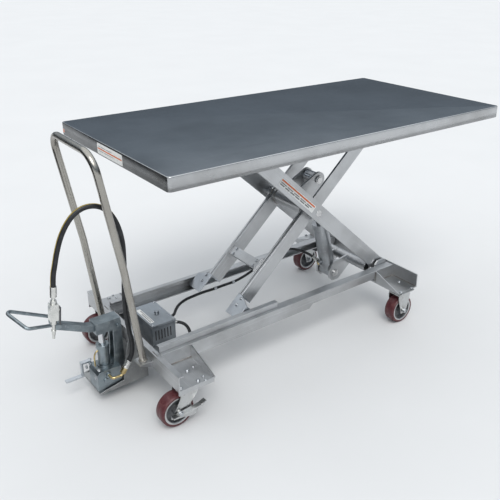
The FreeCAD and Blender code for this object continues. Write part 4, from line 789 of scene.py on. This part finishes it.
# ---------------------------------------------------------------- labels
# Thin printed films with plain bars in place of words: on the deck's handle end, along one outer
# leg and on the power unit's lid.
def printed(name, colour, worn, roughness):
    """Printing ink on film: faintly mottled, scuffed in places."""
    material, tree, shader = matter(name, colour, roughness)
    place = on_object(tree)
    scuffs = ranged(tree, noise(tree, place, 90, 6), 0.5, 0.75)
    tree.links.new(blended(tree, scuffs, colour, worn), shader.inputs["Base Color"])
    tree.links.new(ranged(tree, noise(tree, place, 120), 0.3, 0.7, roughness - 0.08, roughness + 0.1),
                   shader.inputs["Roughness"])
    embossed(tree, shader, noise(tree, place, 700, 2), 0.00005, 0.4)
    return material


film = printed("label_film", (0.80, 0.80, 0.78), (0.60, 0.60, 0.58), 0.34)
ink_orange = printed("ink_orange", (0.70, 0.13, 0.012), (0.50, 0.14, 0.03), 0.34)
ink_grey = printed("ink_grey", (0.11, 0.11, 0.115), (0.22, 0.22, 0.22), 0.38)


FILM_THICK, INK_LEVEL = 0.0003, 0.00022


def sticker(name, centre, across, up, wide, high, marks, body):
    """A film with rounded corners, and its printed bars just proud of it."""
    mesh = block((wide, high, FILM_THICK))
    bmesh.ops.bevel(mesh, geom=standing(mesh), offset=min(wide, high) * 0.12, segments=3,
                    profile=0.5, affect="EDGES", material=-1)
    for left, low, right, top, shade in marks:
        corners = ((left, low), (right, low), (right, top), (left, top))
        bar = mesh.faces.new([mesh.verts.new((x, y, INK_LEVEL)) for x, y in corners])
        bar.material_index = shade
    across, up = Vector(across), Vector(up)
    turn = Matrix((across, up, across.cross(up))).transposed().to_4x4()
    bmesh.ops.transform(mesh, matrix=Matrix.Translation(centre) @ turn, verts=mesh.verts)
    piece = finished(name, mesh, film, ink_orange, ink_grey, smooth=False)
    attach(piece, body)


bars = [(-0.086, 0.0070, -0.030, 0.0088, 2), (-0.022, 0.0070, 0.018, 0.0088, 2),
        (-0.086, -0.0082, -0.048, -0.0066, 2), (-0.040, -0.0082, 0.030, -0.0066, 2)]
sticker("deck_label", (-0.60015, -0.0135, 0.9105), (0, -1, 0), (0, 0, 1), 0.193, 0.038,
        [(-0.092, -0.0022, 0.092, 0.0024, 1)] + bars, "deck")
sticker("deck_spot", (-0.60015, 0.386, 0.905), (0, -1, 0), (0, 0, 1), 0.014, 0.014,
        [(-0.006, -0.006, 0.006, 0.006, 1)], "deck")
dashes = [(-0.112 + 0.034 * index, -0.010, -0.084 + 0.034 * index, -0.0055, 2) for index in range(6)]
dashes += [(-0.112 + 0.044 * index, -0.002, -0.076 + 0.044 * index, 0.0015, 2) for index in range(5)]
sticker("leg_label", (0.0875, -0.16865, 0.657), (0.7412, 0, -0.6713), (0.6713, 0, 0.7412), 0.236,
        0.032, [(-0.114, 0.0065, 0.114, 0.0125, 1)] + dashes, "outer_legs")
sticker("lid_label", (-0.5135, 0.003, 0.25115), (0, 1, 0), (-1, 0, 0), 0.116, 0.017,
        [(-0.054, 0.0015, 0.020, 0.0050, 2), (-0.054, -0.0055, 0.046, -0.0025, 2)], "root")
